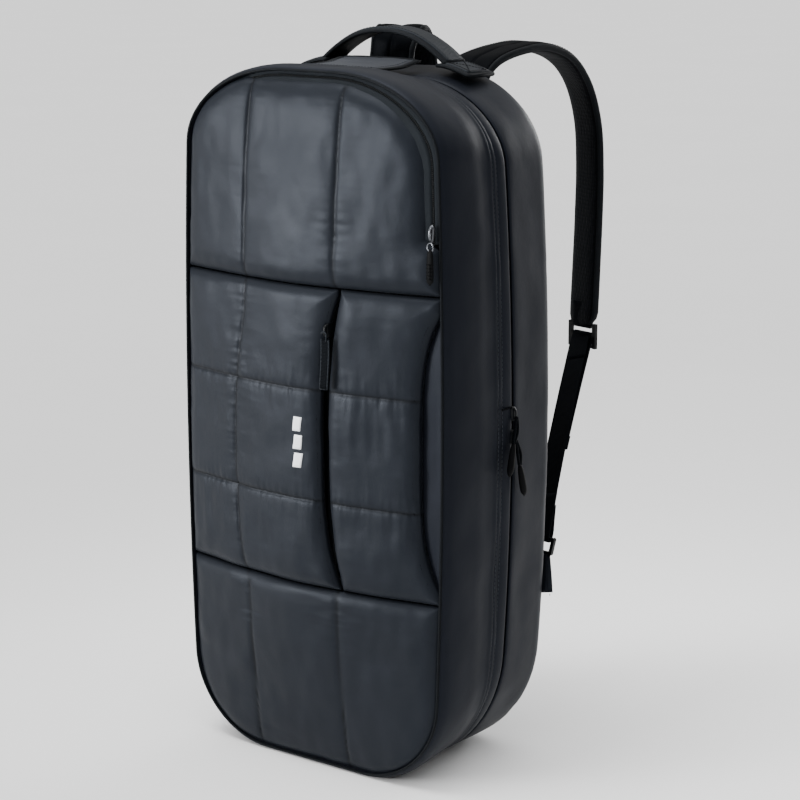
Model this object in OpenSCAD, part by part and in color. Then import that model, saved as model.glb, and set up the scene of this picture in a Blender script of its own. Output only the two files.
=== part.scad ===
// Racket backpack: a tall padded bag that opens like a book along its right side.
// Frame: X to the right as seen from the front, Y to the back, Z up. The origin is at the middle of the base.
// The modules are drawn about the main zip's plane, y = 0, and base_shift moves them to that origin.

/* [Body] */
// Height of the bag body
bag_h = 730; // [690:5:770]
// Half width of the front seam near the corners
seam_half_w = 162; // [155:1:170]
// Half width of the zip line near the corners
zip_half_w = 165; // [160:1:175]
// How far the sides bow out at half height, at the front seam
seam_bow = 10; // [4:1:14]
// How far the sides bow out at half height, at the zip line
zip_bow = 19; // [10:1:24]
// Depth from the zip line to the front seam
front_depth = 96; // [88:1:110]
// How far the front panel is crowned beyond its seam
front_crown = 26; // [20:1:32]
// Depth from the zip line to the rear edge seam
rear_depth = 62; // [58:1:70]
// Depth of the rounded rear edge
rear_round = 22; // [20:1:26]
// Thickness of a padded wall
wall = 3.5; // [3:0.5:4]

/* [Front pocket] */
// Height of the seam under the upper panel
lid_z = 516; // [505:1:525]
// Height of the fold on which the lid opens, at the zip's two ends
fold_z = 562; // [555:1:568]
// Width of the zip beside the lid
lid_band = 19; // [15:1:22]
// Width of the zip over the lid
lid_band_top = 13; // [12:1:16]
// Thickness of the quilted panels
panel_t = 6; // [5:0.5:7]
// Height of the seam above the plain lower panel
lower_seam_z = 203; // [195:1:215]

/* [Side pockets] */
// Where the slit pocket's flap edge meets its seam
slit_x = 52; // [48:1:56]
// How far the slit's flap edge swings to the left
slit_swing = 27; // [20:1:30]
// How far the open pocket's edge swings in from the side seam
stash_swing = 25; // [18:1:30]

/* [Zips] */
// Distance of each zip tape's edge from the zip plane
tape_gap = 0.8; // [0.7:0.1:1]
// Width of the channel in which the main zip runs, each side
channel = 6; // [5.5:0.5:7]
// Width of a main zip tape
tape_w = 13; // [12:0.5:14]
// Thickness of a zip tape
tape_t = 1.2; // [1:0.1:1.4]
// Height of the upper main slider
upper_slider_z = 386; // [380:1:400]
// Height of the lower main slider
lower_slider_z = 362; // [350:1:366]

/* [Straps] */
// Width of a shoulder strap
strap_w = 56; // [54:1:66]
// Thickness of a shoulder strap
strap_t = 11; // [10:1:15]
// Width of the adjusting webbing
web_w = 25; // [20:1:25]
// Thickness of the webbing
web_t = 1.6; // [1.4:0.1:1.8]

/* [Handle] */
// Half span of the handle's free arch
handle_half = 80; // [75:1:85]
// Height of the arch above its ends
handle_rise = 31; // [28:1:34]
// Width of the handle webbing
handle_w = 38; // [30:1:38]

/* [Hidden] */

// From the main zip's plane back to the origin
base_shift = 17;
clear = 0.6;
// Between the shell and a tape sewn to its inside
tape_air = 0.5;
corner_n = 8;
side_n = 5;
ring_n = 4 * (corner_n + 1) + 2 * side_n + 2;
top_mid = ring_n / 2;

// A ring is an outline: half width, bow, height, then the radii of its top and bottom corners in x and z
SEAM_RING = [seam_half_w, seam_bow, bag_h, 130, 83, 98, 93];
MID_RING = [zip_half_w, 0.85 * zip_bow, bag_h - 3, 118, 84, 101, 112];
ZIP_RING = [zip_half_w, zip_bow, bag_h - 13, 110, 82, 105, 130];
REAR_RING = [zip_half_w - 4, zip_bow, bag_h - 6, 107, 88, 100, 120];

function arc(cx, cz, rx, rz, start) =
    [for (k = [0 : corner_n]) [cx + rx * cos(start + 90 * k / corner_n), cz + rz * sin(start + 90 * k / corner_n)]];

function bowed(p, w, bow, h) =
    let (v = 2 * p[1] / h - 1, u = abs(p[0]) / w) [p[0] + sign(p[0]) * bow * (1 - v * v) * u * u, p[1]];

// The shell's ring at depth y, between the front seam, a middle ring, the zip line and the rear seam
mid_y = -0.52 * front_depth;
function mix(a, b, t) = a + t * (b - a);
function ring_at(y) =
    y < mid_y ? mix(SEAM_RING, MID_RING, (y + front_depth) / (mid_y + front_depth))
    : y < -channel ? mix(MID_RING, ZIP_RING, (y - mid_y) / (-channel - mid_y))
    : y < channel ? ZIP_RING
    : mix(ZIP_RING, REAR_RING, min(1, (y - channel) / (rear_depth - channel)));

// The outline of a ring moved inwards by inset, as [x, z] points from the bottom centre round to the right
function outline(ring, inset) =
    let (
        w = ring[0] - inset,
        low = inset,
        high = ring[2] - inset,
        rtx = ring[3] - inset, rtz = ring[4] - inset,
        rbx = ring[5] - inset, rbz = ring[6] - inset,
        z_a = low + rbz,
        z_b = high - rtz,
        right = concat(
            arc(w - rbx, z_a, rbx, rbz, -90),
            [for (k = [1 : side_n]) [w, z_a + (z_b - z_a) * k / (side_n + 1)]],
            arc(w - rtx, z_b, rtx, rtz, 0)),
        left = [for (k = [len(right) - 1 : -1 : 0]) [-right[k][0], right[k][1]]],
        all_points = concat([[0, low]], right, [[0, high]], left))
    [for (p = all_points) bowed(p, w, ring[1], ring[2])];

// Half width of a ring, moved inwards by inset, at height z
function half_at(ring, inset, z) =
    let (
        w = ring[0] - inset,
        rtx = ring[3] - inset, rtz = ring[4] - inset,
        rbx = ring[5] - inset, rbz = ring[6] - inset,
        over = max(0, z - (ring[2] - ring[4])) / rtz,
        under = max(0, ring[6] - z) / rbz,
        x = over > 0 ? w - rtx + rtx * sqrt(max(0, 1 - over * over))
            : w - rbx + rbx * sqrt(max(0, 1 - under * under)))
    bowed([x, z], w, ring[1], ring[2])[0];

// The crowned front face
function front_y(x, z) =
    let (u = min(1, abs(x) / (seam_half_w + 0.8 * seam_bow)), v = min(1, abs(2 * z / bag_h - 1)))
    -front_depth - front_crown * (1 - pow(u, 1.6)) * (1 - pow(v, 3));

function unit(v) = v / norm(v);

// A smooth curve through the points, with n steps between neighbours
function spline(P, n) =
    let (
        q = concat([2 * P[0] - P[1]], P, [2 * P[len(P) - 1] - P[len(P) - 2]]),
        body = [for (i = [1 : len(q) - 3]) for (k = [0 : n - 1]) let (t = k / n)
            0.5 * (2 * q[i] + t * (q[i + 1] - q[i - 1])
                + t * t * (2 * q[i - 1] - 5 * q[i] + 4 * q[i + 1] - q[i + 2])
                + t * t * t * (3 * q[i] - q[i - 1] - 3 * q[i + 1] + q[i + 2]))])
    concat(body, [P[len(P) - 1]]);

// A solid through a list of sections, each a closed loop of points: half of them out, and as many back
module sweep(sections, closed = false) {
    n = len(sections);
    m = len(sections[0]);
    last = closed ? n - 1 : n - 2;
    sides = [for (i = [0 : last]) for (j = [0 : m - 1])
        let (a = i * m + j, b = i * m + (j + 1) % m, c = ((i + 1) % n) * m + (j + 1) % m, d = ((i + 1) % n) * m + j)
        each [[a, b, c], [a, c, d]]];
    cap = [for (k = [0 : m / 2 - 2]) each [[k, k + 1, m - 2 - k], [k, m - 2 - k, m - 1 - k]]];
    caps = closed ? [] : concat([for (f = cap) [f[2], f[1], f[0]]], [for (f = cap) f + (n - 1) * m * [1, 1, 1]]);
    polyhedron(points = [for (s = sections) each s], faces = concat(sides, caps), convexity = 10);
}

// A wall that follows the bag's outline. A station is [y, outer inset, inner inset].
module rim_wall(stations, first = 0, last = ring_n - 1, closed = true) {
    k_n = len(stations);
    outer = [for (s = stations) outline(ring_at(s[0]), s[1])];
    inner = [for (s = stations) outline(ring_at(s[0]), s[2])];
    sweep([for (i = [first : last]) let (j = (i + ring_n) % ring_n) concat(
        [for (k = [0 : k_n - 1]) [outer[k][j][0], stations[k][0], outer[k][j][1]]],
        [for (k = [k_n - 1 : -1 : 0]) [inner[k][j][0], stations[k][0], inner[k][j][1]]])], closed);
}

// A flat plate with a ring's outline, between y0 and y1
module rim_plate(ring, inset, y0, y1) {
    translate([0, y1, 0]) rotate([90, 0, 0]) linear_extrude(y1 - y0) polygon(outline(ring, inset));
}

// A sheet on the crowned front. Rows are [z, left x, right x], from the top down; depth is how far behind the face.
module front_sheet(rows, depth, thick, cols = 12) {
    sweep([for (r = rows) let (xs = [for (k = [0 : cols]) r[1] + (r[2] - r[1]) * k / cols]) concat(
        [for (x = xs) [x, front_y(x, r[0]) + depth, r[0]]],
        [for (k = [cols : -1 : 0]) [xs[k], front_y(xs[k], r[0]) + depth + thick, r[0]]])]);
}

// A flat strip along a path. turn gives the angle about Z of the width at each point.
module strip(path, width, thick, turn, shift = 0) {
    n = len(path);
    sweep([for (i = [0 : n - 1])
        let (
            t = unit(path[min(i + 1, n - 1)] - path[max(i - 1, 0)]),
            a = turn(i / (n - 1)),
            w = unit([cos(a), sin(a), 0] - ([cos(a), sin(a), 0] * t) * t),
            up = cross(w, t),
            c = path[i] + shift * up)
        [c - w * width / 2 - up * thick / 2, c + w * width / 2 - up * thick / 2,
            c + w * width / 2 + up * thick / 2, c - w * width / 2 + up * thick / 2]]);
}

// A slab in the XZ plane with round corners, between y0 and y1
module round_slab(x0, x1, z0, z1, y0, y1, r) {
    translate([0, y1, 0]) rotate([90, 0, 0]) linear_extrude(y1 - y0) union() {
        translate([x0 + r, z0]) square([x1 - x0 - 2 * r, z1 - z0]);
        translate([x0, z0 + r]) square([x1 - x0, z1 - z0 - 2 * r]);
        for (x = [x0 + r, x1 - r], z = [z0 + r, z1 - r]) translate([x, z]) circle(r = r, $fn = 48);
    }
}

module block(low, high) {
    translate(low) cube(high - low);
}

// A shallow tray that opens to the front
module tray(x0, x1, z0, z1, y0, y1, t) {
    difference() {
        block([x0, y0, z0], [x1, y1, z1]);
        block([x0 + t, y0 - 1, z0 + t], [x1 - t, y1 - t, z1 - t]);
    }
}

// ---- Rear half: shell, back and inside ----

back_y = rear_depth + rear_round;
zip_first = -6;
zip_last = 30;
// The cover over the zip stops where the outline turns under the bag
placket_first = 4;

module rear_gusset() {
    color("#3b4048") rim_wall([
        [channel, 0, wall], [rear_depth, 0, wall], [rear_depth + 14, 5, wall + 5], [back_y, 16, wall + 16]]);
}

module back_panel() {
    color("#2b2e33") rim_plate(REAR_RING, wall + 16 + clear, rear_depth + 14, back_y);
}

module back_foam() {
    color("#c9ccd0") rim_plate(REAR_RING, 13, rear_depth + 9, rear_depth + 13.6);
}

module back_board() {
    color("#1d1f22") rim_plate(REAR_RING, 11, rear_depth + 6.6, rear_depth + 8.6);
}

module back_lining() {
    color("#50555c") rim_plate(REAR_RING, 9, rear_depth + 5, rear_depth + 6.2);
}

module rear_binding() {
    color("#17181a")
        rim_wall([[rear_depth - 2, wall + clear, wall + 4], [rear_depth + 2, wall + clear + 1, wall + 5]]);
}

module back_pad(side) {
    x0 = side > 0 ? 14 : -124;
    color("#24262a") round_slab(x0, x0 + 110, 250, 628, back_y + clear, back_y + 10, 24);
}

module lumbar_pad() {
    color("#24262a") round_slab(-112, 112, 118, 226, back_y + clear, back_y + 11, 24);
}

module shoulder_yoke() {
    color("#33373d") round_slab(-92, 92, 640, 697, back_y + clear, back_y + 4, 10);
}

module racket_sleeve() {
    rows = [for (z = [22, 60, 100, 140, 480]) z];
    color("#5a6068") sweep([for (z = rows) let (h = half_at(ZIP_RING, 12, z))
        [[-h, 40, z], [-h, 45, z], [h, 45, z], [h, 40, z]]]);
}

// A tape just inside the gusset walls, between y0 and y1
// A tape under the shell's edge, with its stations at the given depths
module tape_wall(ys, first, last) {
    outer = wall + tape_air;
    rim_wall([for (y = ys) [y, outer, outer + tape_t]], first, last, false);
}

module rear_zip_tape() {
    color("#101113") tape_wall([tape_gap, channel, tape_gap + tape_w], zip_first, zip_last);
}

// The left side's fabric, which stays joined when the bag is opened
module left_side_hinge() {
    color("#3b4048") tape_wall([tape_gap, channel, tape_gap + tape_w], zip_last + 1, ring_n + zip_first - 1);
}

// ---- Handle ----

handle_y = 42;
handle_z = bag_h + 1;
handle_t = 3;

module handle_patches() {
    patch = [[handle_half + 2, 726.5], [handle_half + 16, 723.5], [handle_half + 30, 717.5]];
    color("#2a2d31") for (s = [-1, 1]) sweep([for (p = patch) let (x = s * p[0], a = handle_y - s * handle_w / 2,
        b = handle_y + s * handle_w / 2)
        [[x, a, p[1]], [x, a, p[1] + 2], [x, b, p[1] + 2], [x, b, p[1]]]]);
}

// The free arch between its two sewn ends
module handle_loop() {
    path = [for (k = [-8 : 8]) let (u = k / 8)
        [u * handle_half, handle_y, handle_z + handle_rise * (1 - pow(abs(u), 2.2))]];
    color("#2a2d31") strip(path, handle_w, handle_t, function (u) 90);
}

// ---- Shoulder straps ----

RIGHT_ROUTE = [[46, 97, 668], [47, 98, 690], [49, 104, 711], [53, 122, 727], [58, 160, 736], [62, 205, 738],
    [66, 250, 725], [70, 283, 696], [74, 299, 652], [78, 299, 600], [82, 292, 545], [86, 283, 490], [90, 273, 442]];
LEFT_ROUTE = [[-46, 97, 668], [-46, 97, 700], [-45, 98, 728], [-44, 101, 746], [-44, 113, 757], [-46, 126, 746],
    [-51, 143, 704], [-59, 170, 634], [-67, 194, 562], [-74, 205, 498], [-79, 206, 442]];
strap_turn = 30;
// The mesh face starts where the left strap has folded over
mesh_from = 5;

function strap_angle(side, u) = -side * strap_turn * min(1, max(0, (u - 0.25) / 0.3));

module strap(side) {
    route = side > 0 ? RIGHT_ROUTE : LEFT_ROUTE;
    color("#3f444b") strip(spline(route, 3), strap_w, strap_t - 2.2, function (u) strap_angle(side, u), 1.1);
}

module strap_mesh(side) {
    route = side > 0 ? RIGHT_ROUTE : LEFT_ROUTE;
    n = len(route);
    start = side > 0 ? 0 : mesh_from;
    part = [for (i = [start : n - 1]) route[i]];
    share = start / (n - 1);
    color("#15161a") strip(spline(part, 3), strap_w - 4, 1.6,
        function (u) strap_angle(side, share + (1 - share) * u), -0.8 - strap_t / 2);
}

// ---- Ladder locks, webbing, rings and anchor tabs ----

function lock_pivot(side) = side > 0 ? [91, 271, 428] : [-79, 205, 428];
function ring_pivot(side) = [side * 151, 104, 212];
lock_turn = 12;
ring_turn = 5;
lock_w = web_w + 12;
bar_d = 4;
bar_gap = 12;
// Inner width of a loop of webbing sewn round a bar
loop_d = bar_d + 0.8;

// Moves a shape drawn about the origin, with X along the webbing's width, to a pivot
module placed(pivot, side, turn) {
    translate(pivot) rotate([0, 0, -side * turn]) children();
}

// The same for a point
function placed_point(pivot, side, turn, p) = let (a = -side * turn)
    pivot + [p[0] * cos(a) - p[1] * sin(a), p[0] * sin(a) + p[1] * cos(a), p[2]];

// A bar along X, centred
module bar(length, d) {
    rotate([0, 90, 0]) cylinder(h = length, d = d, center = true, $fn = 24);
}

// Webbing sewn round a bar: a half turn with two legs of the given length. way is 1 for legs up, -1 for legs down.
module web_loop(way, leg_near, leg_far) {
    difference() {
        bar(web_w, loop_d + 2 * web_t);
        bar(web_w + 2, loop_d);
        translate([0, 0, way * 13]) cube([web_w + 2, loop_d + 8, 26], center = true);
    }
    for (leg = [[-1, leg_near], [1, leg_far]]) translate([0, leg[0] * (loop_d + web_t) / 2, way * leg[1] / 2])
        cube([web_w, web_t, leg[1]], center = true);
}

module ladder_lock(side) {
    color("#141518") placed(lock_pivot(side), side, lock_turn) {
        for (k = [0 : 2]) translate([0, 0, -k * bar_gap]) bar(lock_w, bar_d);
        for (s = [-1, 1]) block([s * lock_w / 2 - 2.5, -2, -26], [s * lock_w / 2 + 2.5, 2, 2]);
    }
}

// The loop sewn into the strap's end, which holds the lock's top bar
module lock_loop(side) {
    color("#202328") placed(lock_pivot(side), side, lock_turn) web_loop(1, 8, 8);
}

// Where the adjusting webbing runs, from the lock down to the ring
function web_route(side) =
    let (
        top = placed_point(lock_pivot(side), side, lock_turn, [0, -(loop_d + web_t) / 2, -46]),
        low = ring_pivot(side) + [side * 4, 3, 50])
    [top, (top + low) / 2 + [-side * 8, -4, -12], low];

module adjust_web(side) {
    color("#202328") strip(spline(web_route(side), 6), web_w, web_t,
        function (u) -side * (lock_turn + (ring_turn - lock_turn) * u));
}

// The webbing round the lock's middle bar, with the loose end that hangs beside the adjusting webbing
module web_tail(side) {
    near = (loop_d + web_t) / 2;
    web = spline(web_route(side), 6);
    outside = [0, 2.4, -2.4];
    leg = [for (z = [-26, -46]) placed_point(lock_pivot(side), side, lock_turn, [0, near, z])];
    color("#202328") {
        placed(lock_pivot(side), side, lock_turn) translate([0, 0, -bar_gap]) web_loop(-1, 22, 17);
        strip(concat(leg, [for (k = [2 : 2 : 6]) web[k] + outside]), web_w, web_t, function (u) -side * lock_turn);
    }
}

module web_ring(side) {
    color("#141518") placed(ring_pivot(side), side, ring_turn) {
        bar(web_w + 2, bar_d);
        translate([0, 0, 16]) bar(web_w + 10, bar_d);
        for (s = [-1, 1]) hull() for (end = [[web_w / 2 + 1, 0], [web_w / 2 + 5, 16]])
            translate([s * end[0], 0, end[1]]) rotate([90, 0, 0])
                cylinder(h = bar_d, d = bar_d, center = true, $fn = 24);
    }
}

// The adjusting webbing's lower end, sewn round the ring's upper bar
module ring_loop(side) {
    color("#202328") placed(ring_pivot(side), side, ring_turn) translate([0, 0, 16]) web_loop(1, 24, 24);
}

// A tapered tab, sewn into the rear edge seam, that holds the ring's lower bar
module anchor_tab(side) {
    top = placed_point(ring_pivot(side), side, ring_turn, [0, 0, -bar_d / 2 - 1]);
    seam = [side * 158, back_y + 1.8, 172];
    widths = [web_w - 1, web_w + 17];
    across = [cos(ring_turn), -side * sin(ring_turn), 0];
    down = unit(seam - top);
    up = unit(cross(across, down));
    color("#33373d") sweep([for (k = [0, 1]) let (c = k == 0 ? top : seam, w = across * widths[k] / 2, t = up)
        [c - w - t, c + w - t, c + w + t, c - w + t]]);
}

// ---- Front half ----

function mirrored_rows(ring, zs, inset) = [for (z = zs) let (h = half_at(ring, inset, z)) [z, -h, h]];

module front_gusset() {
    color("#474d55") rim_wall([[-front_depth, 0, wall], [mid_y, 0, wall], [-channel, 0, wall]]);
}

module front_binding() {
    color("#17181a")
        rim_wall([[-front_depth + 8, wall + clear, wall + 4], [-front_depth + 12, wall + clear, wall + 4]]);
}

module front_lining() {
    color("#50555c") rim_plate(SEAM_RING, 9, -66, -64.8);
}

module lower_panel() {
    inset = wall + clear;
    base = SEAM_RING[6];
    rows = concat([lower_seam_z - 1, 160, 125], [for (a = [0 : 15 : 90]) base - (base - inset) * sin(a)]);
    color("#4a5058") front_sheet(mirrored_rows(SEAM_RING, rows, inset), 0, panel_t);
}

middle_mid = (lid_z + lower_seam_z) / 2 - 4;
middle_rows = [lid_z - 1, 508, 490, 470, 440, 400, 356, 312, 272, 242, 222, 208, lower_seam_z];

function slit_left(z) = slit_x - slit_swing * (1 - pow(min(1, abs(z - middle_mid) / 153), 3.2));
function slit_right(z) = slit_x + 3.5 - 12 * (1 - pow(min(1, abs(z - middle_mid) / 153), 2.5));
function stash_edge(z) =
    half_at(SEAM_RING, wall + clear, z) - stash_swing * (1 - pow(min(1, abs(z - middle_mid) / 144), 4));

module middle_panel_left() {
    rows = [for (z = middle_rows) [z, -half_at(SEAM_RING, wall + clear, z), slit_left(z)]];
    color("#4a5058") front_sheet(rows, 0, panel_t);
}

module middle_panel_right() {
    rows = [for (z = middle_rows) [z, slit_right(z), stash_edge(z)]];
    color("#4a5058") front_sheet(rows, 0, panel_t);
}

module stash_binding() {
    rows = [for (z = [490, 470, 440, 400, 356, 312, 272, 242, 222]) [z, stash_edge(z) - 8, stash_edge(z) - 0.5]];
    color("#3b4048") front_sheet(rows, panel_t + tape_air, tape_t, 2);
}

// A plain mark of three short slanted bars
module front_mark() {
    color("white") for (k = [0 : 2]) let (z = 332 + 20 * k)
        front_sheet([[z + 14, 4, 14], [z + 7, 3, 13], [z, 2, 12]], -0.5, 0.4, 2);
}

module front_zip_tape() {
    color("#101113") tape_wall([-tape_gap - tape_w, -channel, -tape_gap], zip_first, zip_last);
}

// The narrow cover sewn along the front of the main zip
module zip_placket() {
    color("#3b4048") rim_wall([[-22, -1.8, -0.6], [-channel - 0.5, -1.8, -0.6]], placket_first, zip_last, false);
}

flap_w = 104;

// The bridge over the zip's top end, sewn along its front edge
module storm_flap() {
    path = [[0, -52, 729], [0, -30, 730], [0, -8, 732.5], [0, 6, 735.5], [0, 19, 738]];
    color("#4a5058") strip(path, flap_w, 2, function (u) 0);
}

side_inset = wall + clear;

// The lid's own outline. Its upper corners are rounder than the seam's.
LID_RING = [seam_half_w - side_inset - lid_band, seam_bow, bag_h - side_inset - lid_band_top, 112, 79, 98, 93];

// The path up the right side of a ring, over its top and down the left, as [x, z] points
function over_path(ring, inset) =
    let (
        points = outline(ring, inset),
        first_corner = 1 + corner_n + 1 + side_n,
        right = concat([for (z = [fold_z + 1, 585, 620]) [half_at(ring, inset, z), z]],
            [for (k = [first_corner : first_corner + corner_n]) points[k]]),
        left = [for (k = [len(right) - 1 : -1 : 0]) [-right[k][0], right[k][1]]])
    concat(right, [points[top_mid]], left);

// A strip of the band between the seam and the lid, from share a to share b of its width
module lid_strip(a, b, thick) {
    seam = over_path(SEAM_RING, side_inset);
    edge = over_path(LID_RING, 0);
    sweep([for (k = [0 : len(seam) - 1])
        let (
            p = seam[k] + a * (edge[k] - seam[k]),
            q = seam[k] + b * (edge[k] - seam[k]),
            y_p = front_y(p[0], p[1]),
            y_q = front_y(q[0], q[1]))
        [[p[0], y_p, p[1]], [p[0], y_p + thick, p[1]], [q[0], y_q + thick, q[1]], [q[0], y_q, q[1]]]]);
}

module pocket_zip_band() {
    color("#101113") lid_strip(0, 0.6, tape_t);
}

module lid_zip_tape() {
    color("#101113") lid_strip(0.68, 0.94, tape_t);
}

module pocket_lid() {
    top = LID_RING[2] - LID_RING[4];
    rows = concat([for (a = [90 : -15 : 0]) top + LID_RING[4] * sin(a)], [620, 585, fold_z + 1]);
    color("#4a5058") front_sheet(mirrored_rows(LID_RING, rows, 0), 0, panel_t);
}

// The sewn foot of the upper panel, below the lid's fold
module upper_panel() {
    color("#4a5058") front_sheet(mirrored_rows(SEAM_RING, [fold_z, 550, 539, 527, lid_z + 1], side_inset), 0, panel_t, 14);
}

module pocket_bag() {
    color("#50555c") tray(-136, 136, lid_z + 2, 680, -88, -67, 1.2);
}

// ---- Slit pocket and stash pocket ----

slit_zip_x = 40;
slit_zip_y = -108;

module slit_zip_tape() {
    color("#101113") for (s = [-1, 1]) let (a = slit_zip_x + s, b = slit_zip_x + 9 * s)
        block([min(a, b), slit_zip_y, 214], [max(a, b), slit_zip_y + tape_t, 506]);
}

module slit_pocket_bag() {
    color("#50555c") tray(-60, 88, 214, 506, slit_zip_y + 5, -68, 1.2);
}

module stash_pocket_bag() {
    color("#50555c") tray(94, 162, 224, 490, -88, -68, 1.2);
}

// ---- Sliders and pullers ----

function zip_x(z) = half_at(ZIP_RING, 0, z);

// A slider with an outer and an inner plate joined by a thin web between the tapes
module main_slider(z) {
    color("#9aa0a6") translate([zip_x(z), 0, z]) {
        block([-1.8, -4.8, -8], [0.9, 4.8, 8]);
        block([-wall - 4.2, -4.8, -8], [-wall - 2.4, 4.8, 8]);
        block([-wall - 4.2, -0.4, -3], [0.9, 0.4, 3]);
        for (s = [-1, 1]) block([0.5, -2.2, s * 5.5 - 1], [4.2, 2.2, s * 5.5 + 1]);
        block([3.2, -2.2, -6.5], [4.2, 2.2, 6.5]);
    }
}

// Two cords from the slider's bail, spread to one side so that the two sliders' pulls pass each other
module main_pull(z, side) {
    translate([zip_x(z) + 6.4, 0, z]) color("#15171b") {
        block([-1.2, side > 0 ? 2.8 : -11, -3], [1.2, side > 0 ? 11 : -2.8, 1]);
        for (cord = [[6, 4, 60], [9, 15, 54]])
            translate([0, cord[0] * side, 0]) rotate([cord[1] * side, 0, 0])
                block([-1.2, -1.5, -cord[2]], [1.2, 1.5, 0]);
    }
}

module main_slider_upper() {
    main_slider(upper_slider_z);
}

module main_slider_lower() {
    main_slider(lower_slider_z);
}

module main_pull_upper() {
    main_pull(upper_slider_z - 4, -1);
}

module main_pull_lower() {
    main_pull(lower_slider_z - 4, 1);
}

// Where the pocket's coil lies, as a share of the band's width
coil_share = 0.27;
pocket_slider_z = 578;
pocket_slider_x = (1 - coil_share) * half_at(SEAM_RING, side_inset, pocket_slider_z)
    + coil_share * half_at(LID_RING, 0, pocket_slider_z);
pocket_slider_y = front_y(pocket_slider_x, pocket_slider_z) - 1.2;

module pocket_slider() {
    color("#9aa0a6") translate([pocket_slider_x, pocket_slider_y, pocket_slider_z]) {
        block([-3.2, -2.2, -9], [3, -0.4, 9]);
        for (s = [-1, 1]) block([-1.5, -5, s * 6 - 1], [1.5, -2, s * 6 + 1]);
        block([-1.5, -5.6, -7], [1.5, -4.4, 7]);
    }
}

module pocket_puller() {
    color("#15171b") translate([pocket_slider_x, pocket_slider_y - 7.2, pocket_slider_z - 9]) {
        bar(7, 2.4);
        for (x = [-1.4, 3.4]) block([x - 0.8, -1.1, -9], [x + 0.8, 1.1, 0]);
        block([-2.4, -1.6, -40], [5.4, 1.6, -8]);
    }
}

slit_slider_z = 472;

module slit_slider() {
    color("#9aa0a6") translate([slit_zip_x, slit_zip_y, slit_slider_z]) {
        block([-4, -2.4, -8], [4, -0.4, 8]);
        block([-4, 1.6, -8], [4, 3.2, 8]);
        block([-0.6, -2.4, -3], [0.6, 3.2, 3]);
        block([-1.4, -14, -2], [1.4, -2, 2]);
    }
}

module slit_puller() {
    color("#15171b") translate([slit_zip_x, slit_zip_y - 15.6, slit_slider_z]) {
        bar(7, 2.4);
        block([-4.5, -0.9, -58], [4.5, 0.9, 0]);
    }
}

// One node on its own, or all of them, moved to the frame's origin
module shown(name) {
    translate([0, base_shift, 0]) children();
}

shown("rear_gusset") rear_gusset();
shown("back_panel") back_panel();
shown("back_foam") back_foam();
shown("back_board") back_board();
shown("back_lining") back_lining();
shown("rear_binding") rear_binding();
shown("back_pad_left") back_pad(-1);
shown("back_pad_right") back_pad(1);
shown("lumbar_pad") lumbar_pad();
shown("shoulder_yoke") shoulder_yoke();
shown("racket_sleeve") racket_sleeve();
shown("rear_zip_tape") rear_zip_tape();
shown("left_side_hinge") left_side_hinge();
shown("handle_patches") handle_patches();
shown("handle_loop") handle_loop();
shown("strap_left") strap(-1);
shown("strap_right") strap(1);
shown("strap_mesh_left") strap_mesh(-1);
shown("strap_mesh_right") strap_mesh(1);
shown("ladder_lock_left") ladder_lock(-1);
shown("ladder_lock_right") ladder_lock(1);
shown("lock_loop_left") lock_loop(-1);
shown("lock_loop_right") lock_loop(1);
shown("web_tail_left") web_tail(-1);
shown("web_tail_right") web_tail(1);
shown("adjust_web_left") adjust_web(-1);
shown("adjust_web_right") adjust_web(1);
shown("web_ring_left") web_ring(-1);
shown("web_ring_right") web_ring(1);
shown("ring_loop_left") ring_loop(-1);
shown("ring_loop_right") ring_loop(1);
shown("anchor_tab_left") anchor_tab(-1);
shown("anchor_tab_right") anchor_tab(1);
shown("front_gusset") front_gusset();
shown("front_binding") front_binding();
shown("front_lining") front_lining();
shown("upper_panel") upper_panel();
shown("lower_panel") lower_panel();
shown("middle_panel_left") middle_panel_left();
shown("middle_panel_right") middle_panel_right();
shown("front_mark") front_mark();
shown("front_zip_tape") front_zip_tape();
shown("zip_placket") zip_placket();
shown("storm_flap") storm_flap();
shown("pocket_bag") pocket_bag();
shown("pocket_zip_band") pocket_zip_band();
shown("slit_zip_tape") slit_zip_tape();
shown("slit_pocket_bag") slit_pocket_bag();
shown("stash_pocket_bag") stash_pocket_bag();
shown("stash_binding") stash_binding();
shown("pocket_lid") pocket_lid();
shown("lid_zip_tape") lid_zip_tape();
shown("main_slider_upper") main_slider_upper();
shown("main_slider_lower") main_slider_lower();
shown("main_pull_upper") main_pull_upper();
shown("main_pull_lower") main_pull_lower();
shown("pocket_slider") pocket_slider();
shown("pocket_puller") pocket_puller();
shown("slit_slider") slit_slider();
shown("slit_puller") slit_puller();
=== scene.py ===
"""Racket backpack: soft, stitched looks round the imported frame, in millimetres about the zip plane."""

import math

import bmesh
import bpy
import numpy as np
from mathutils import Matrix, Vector, noise


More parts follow.
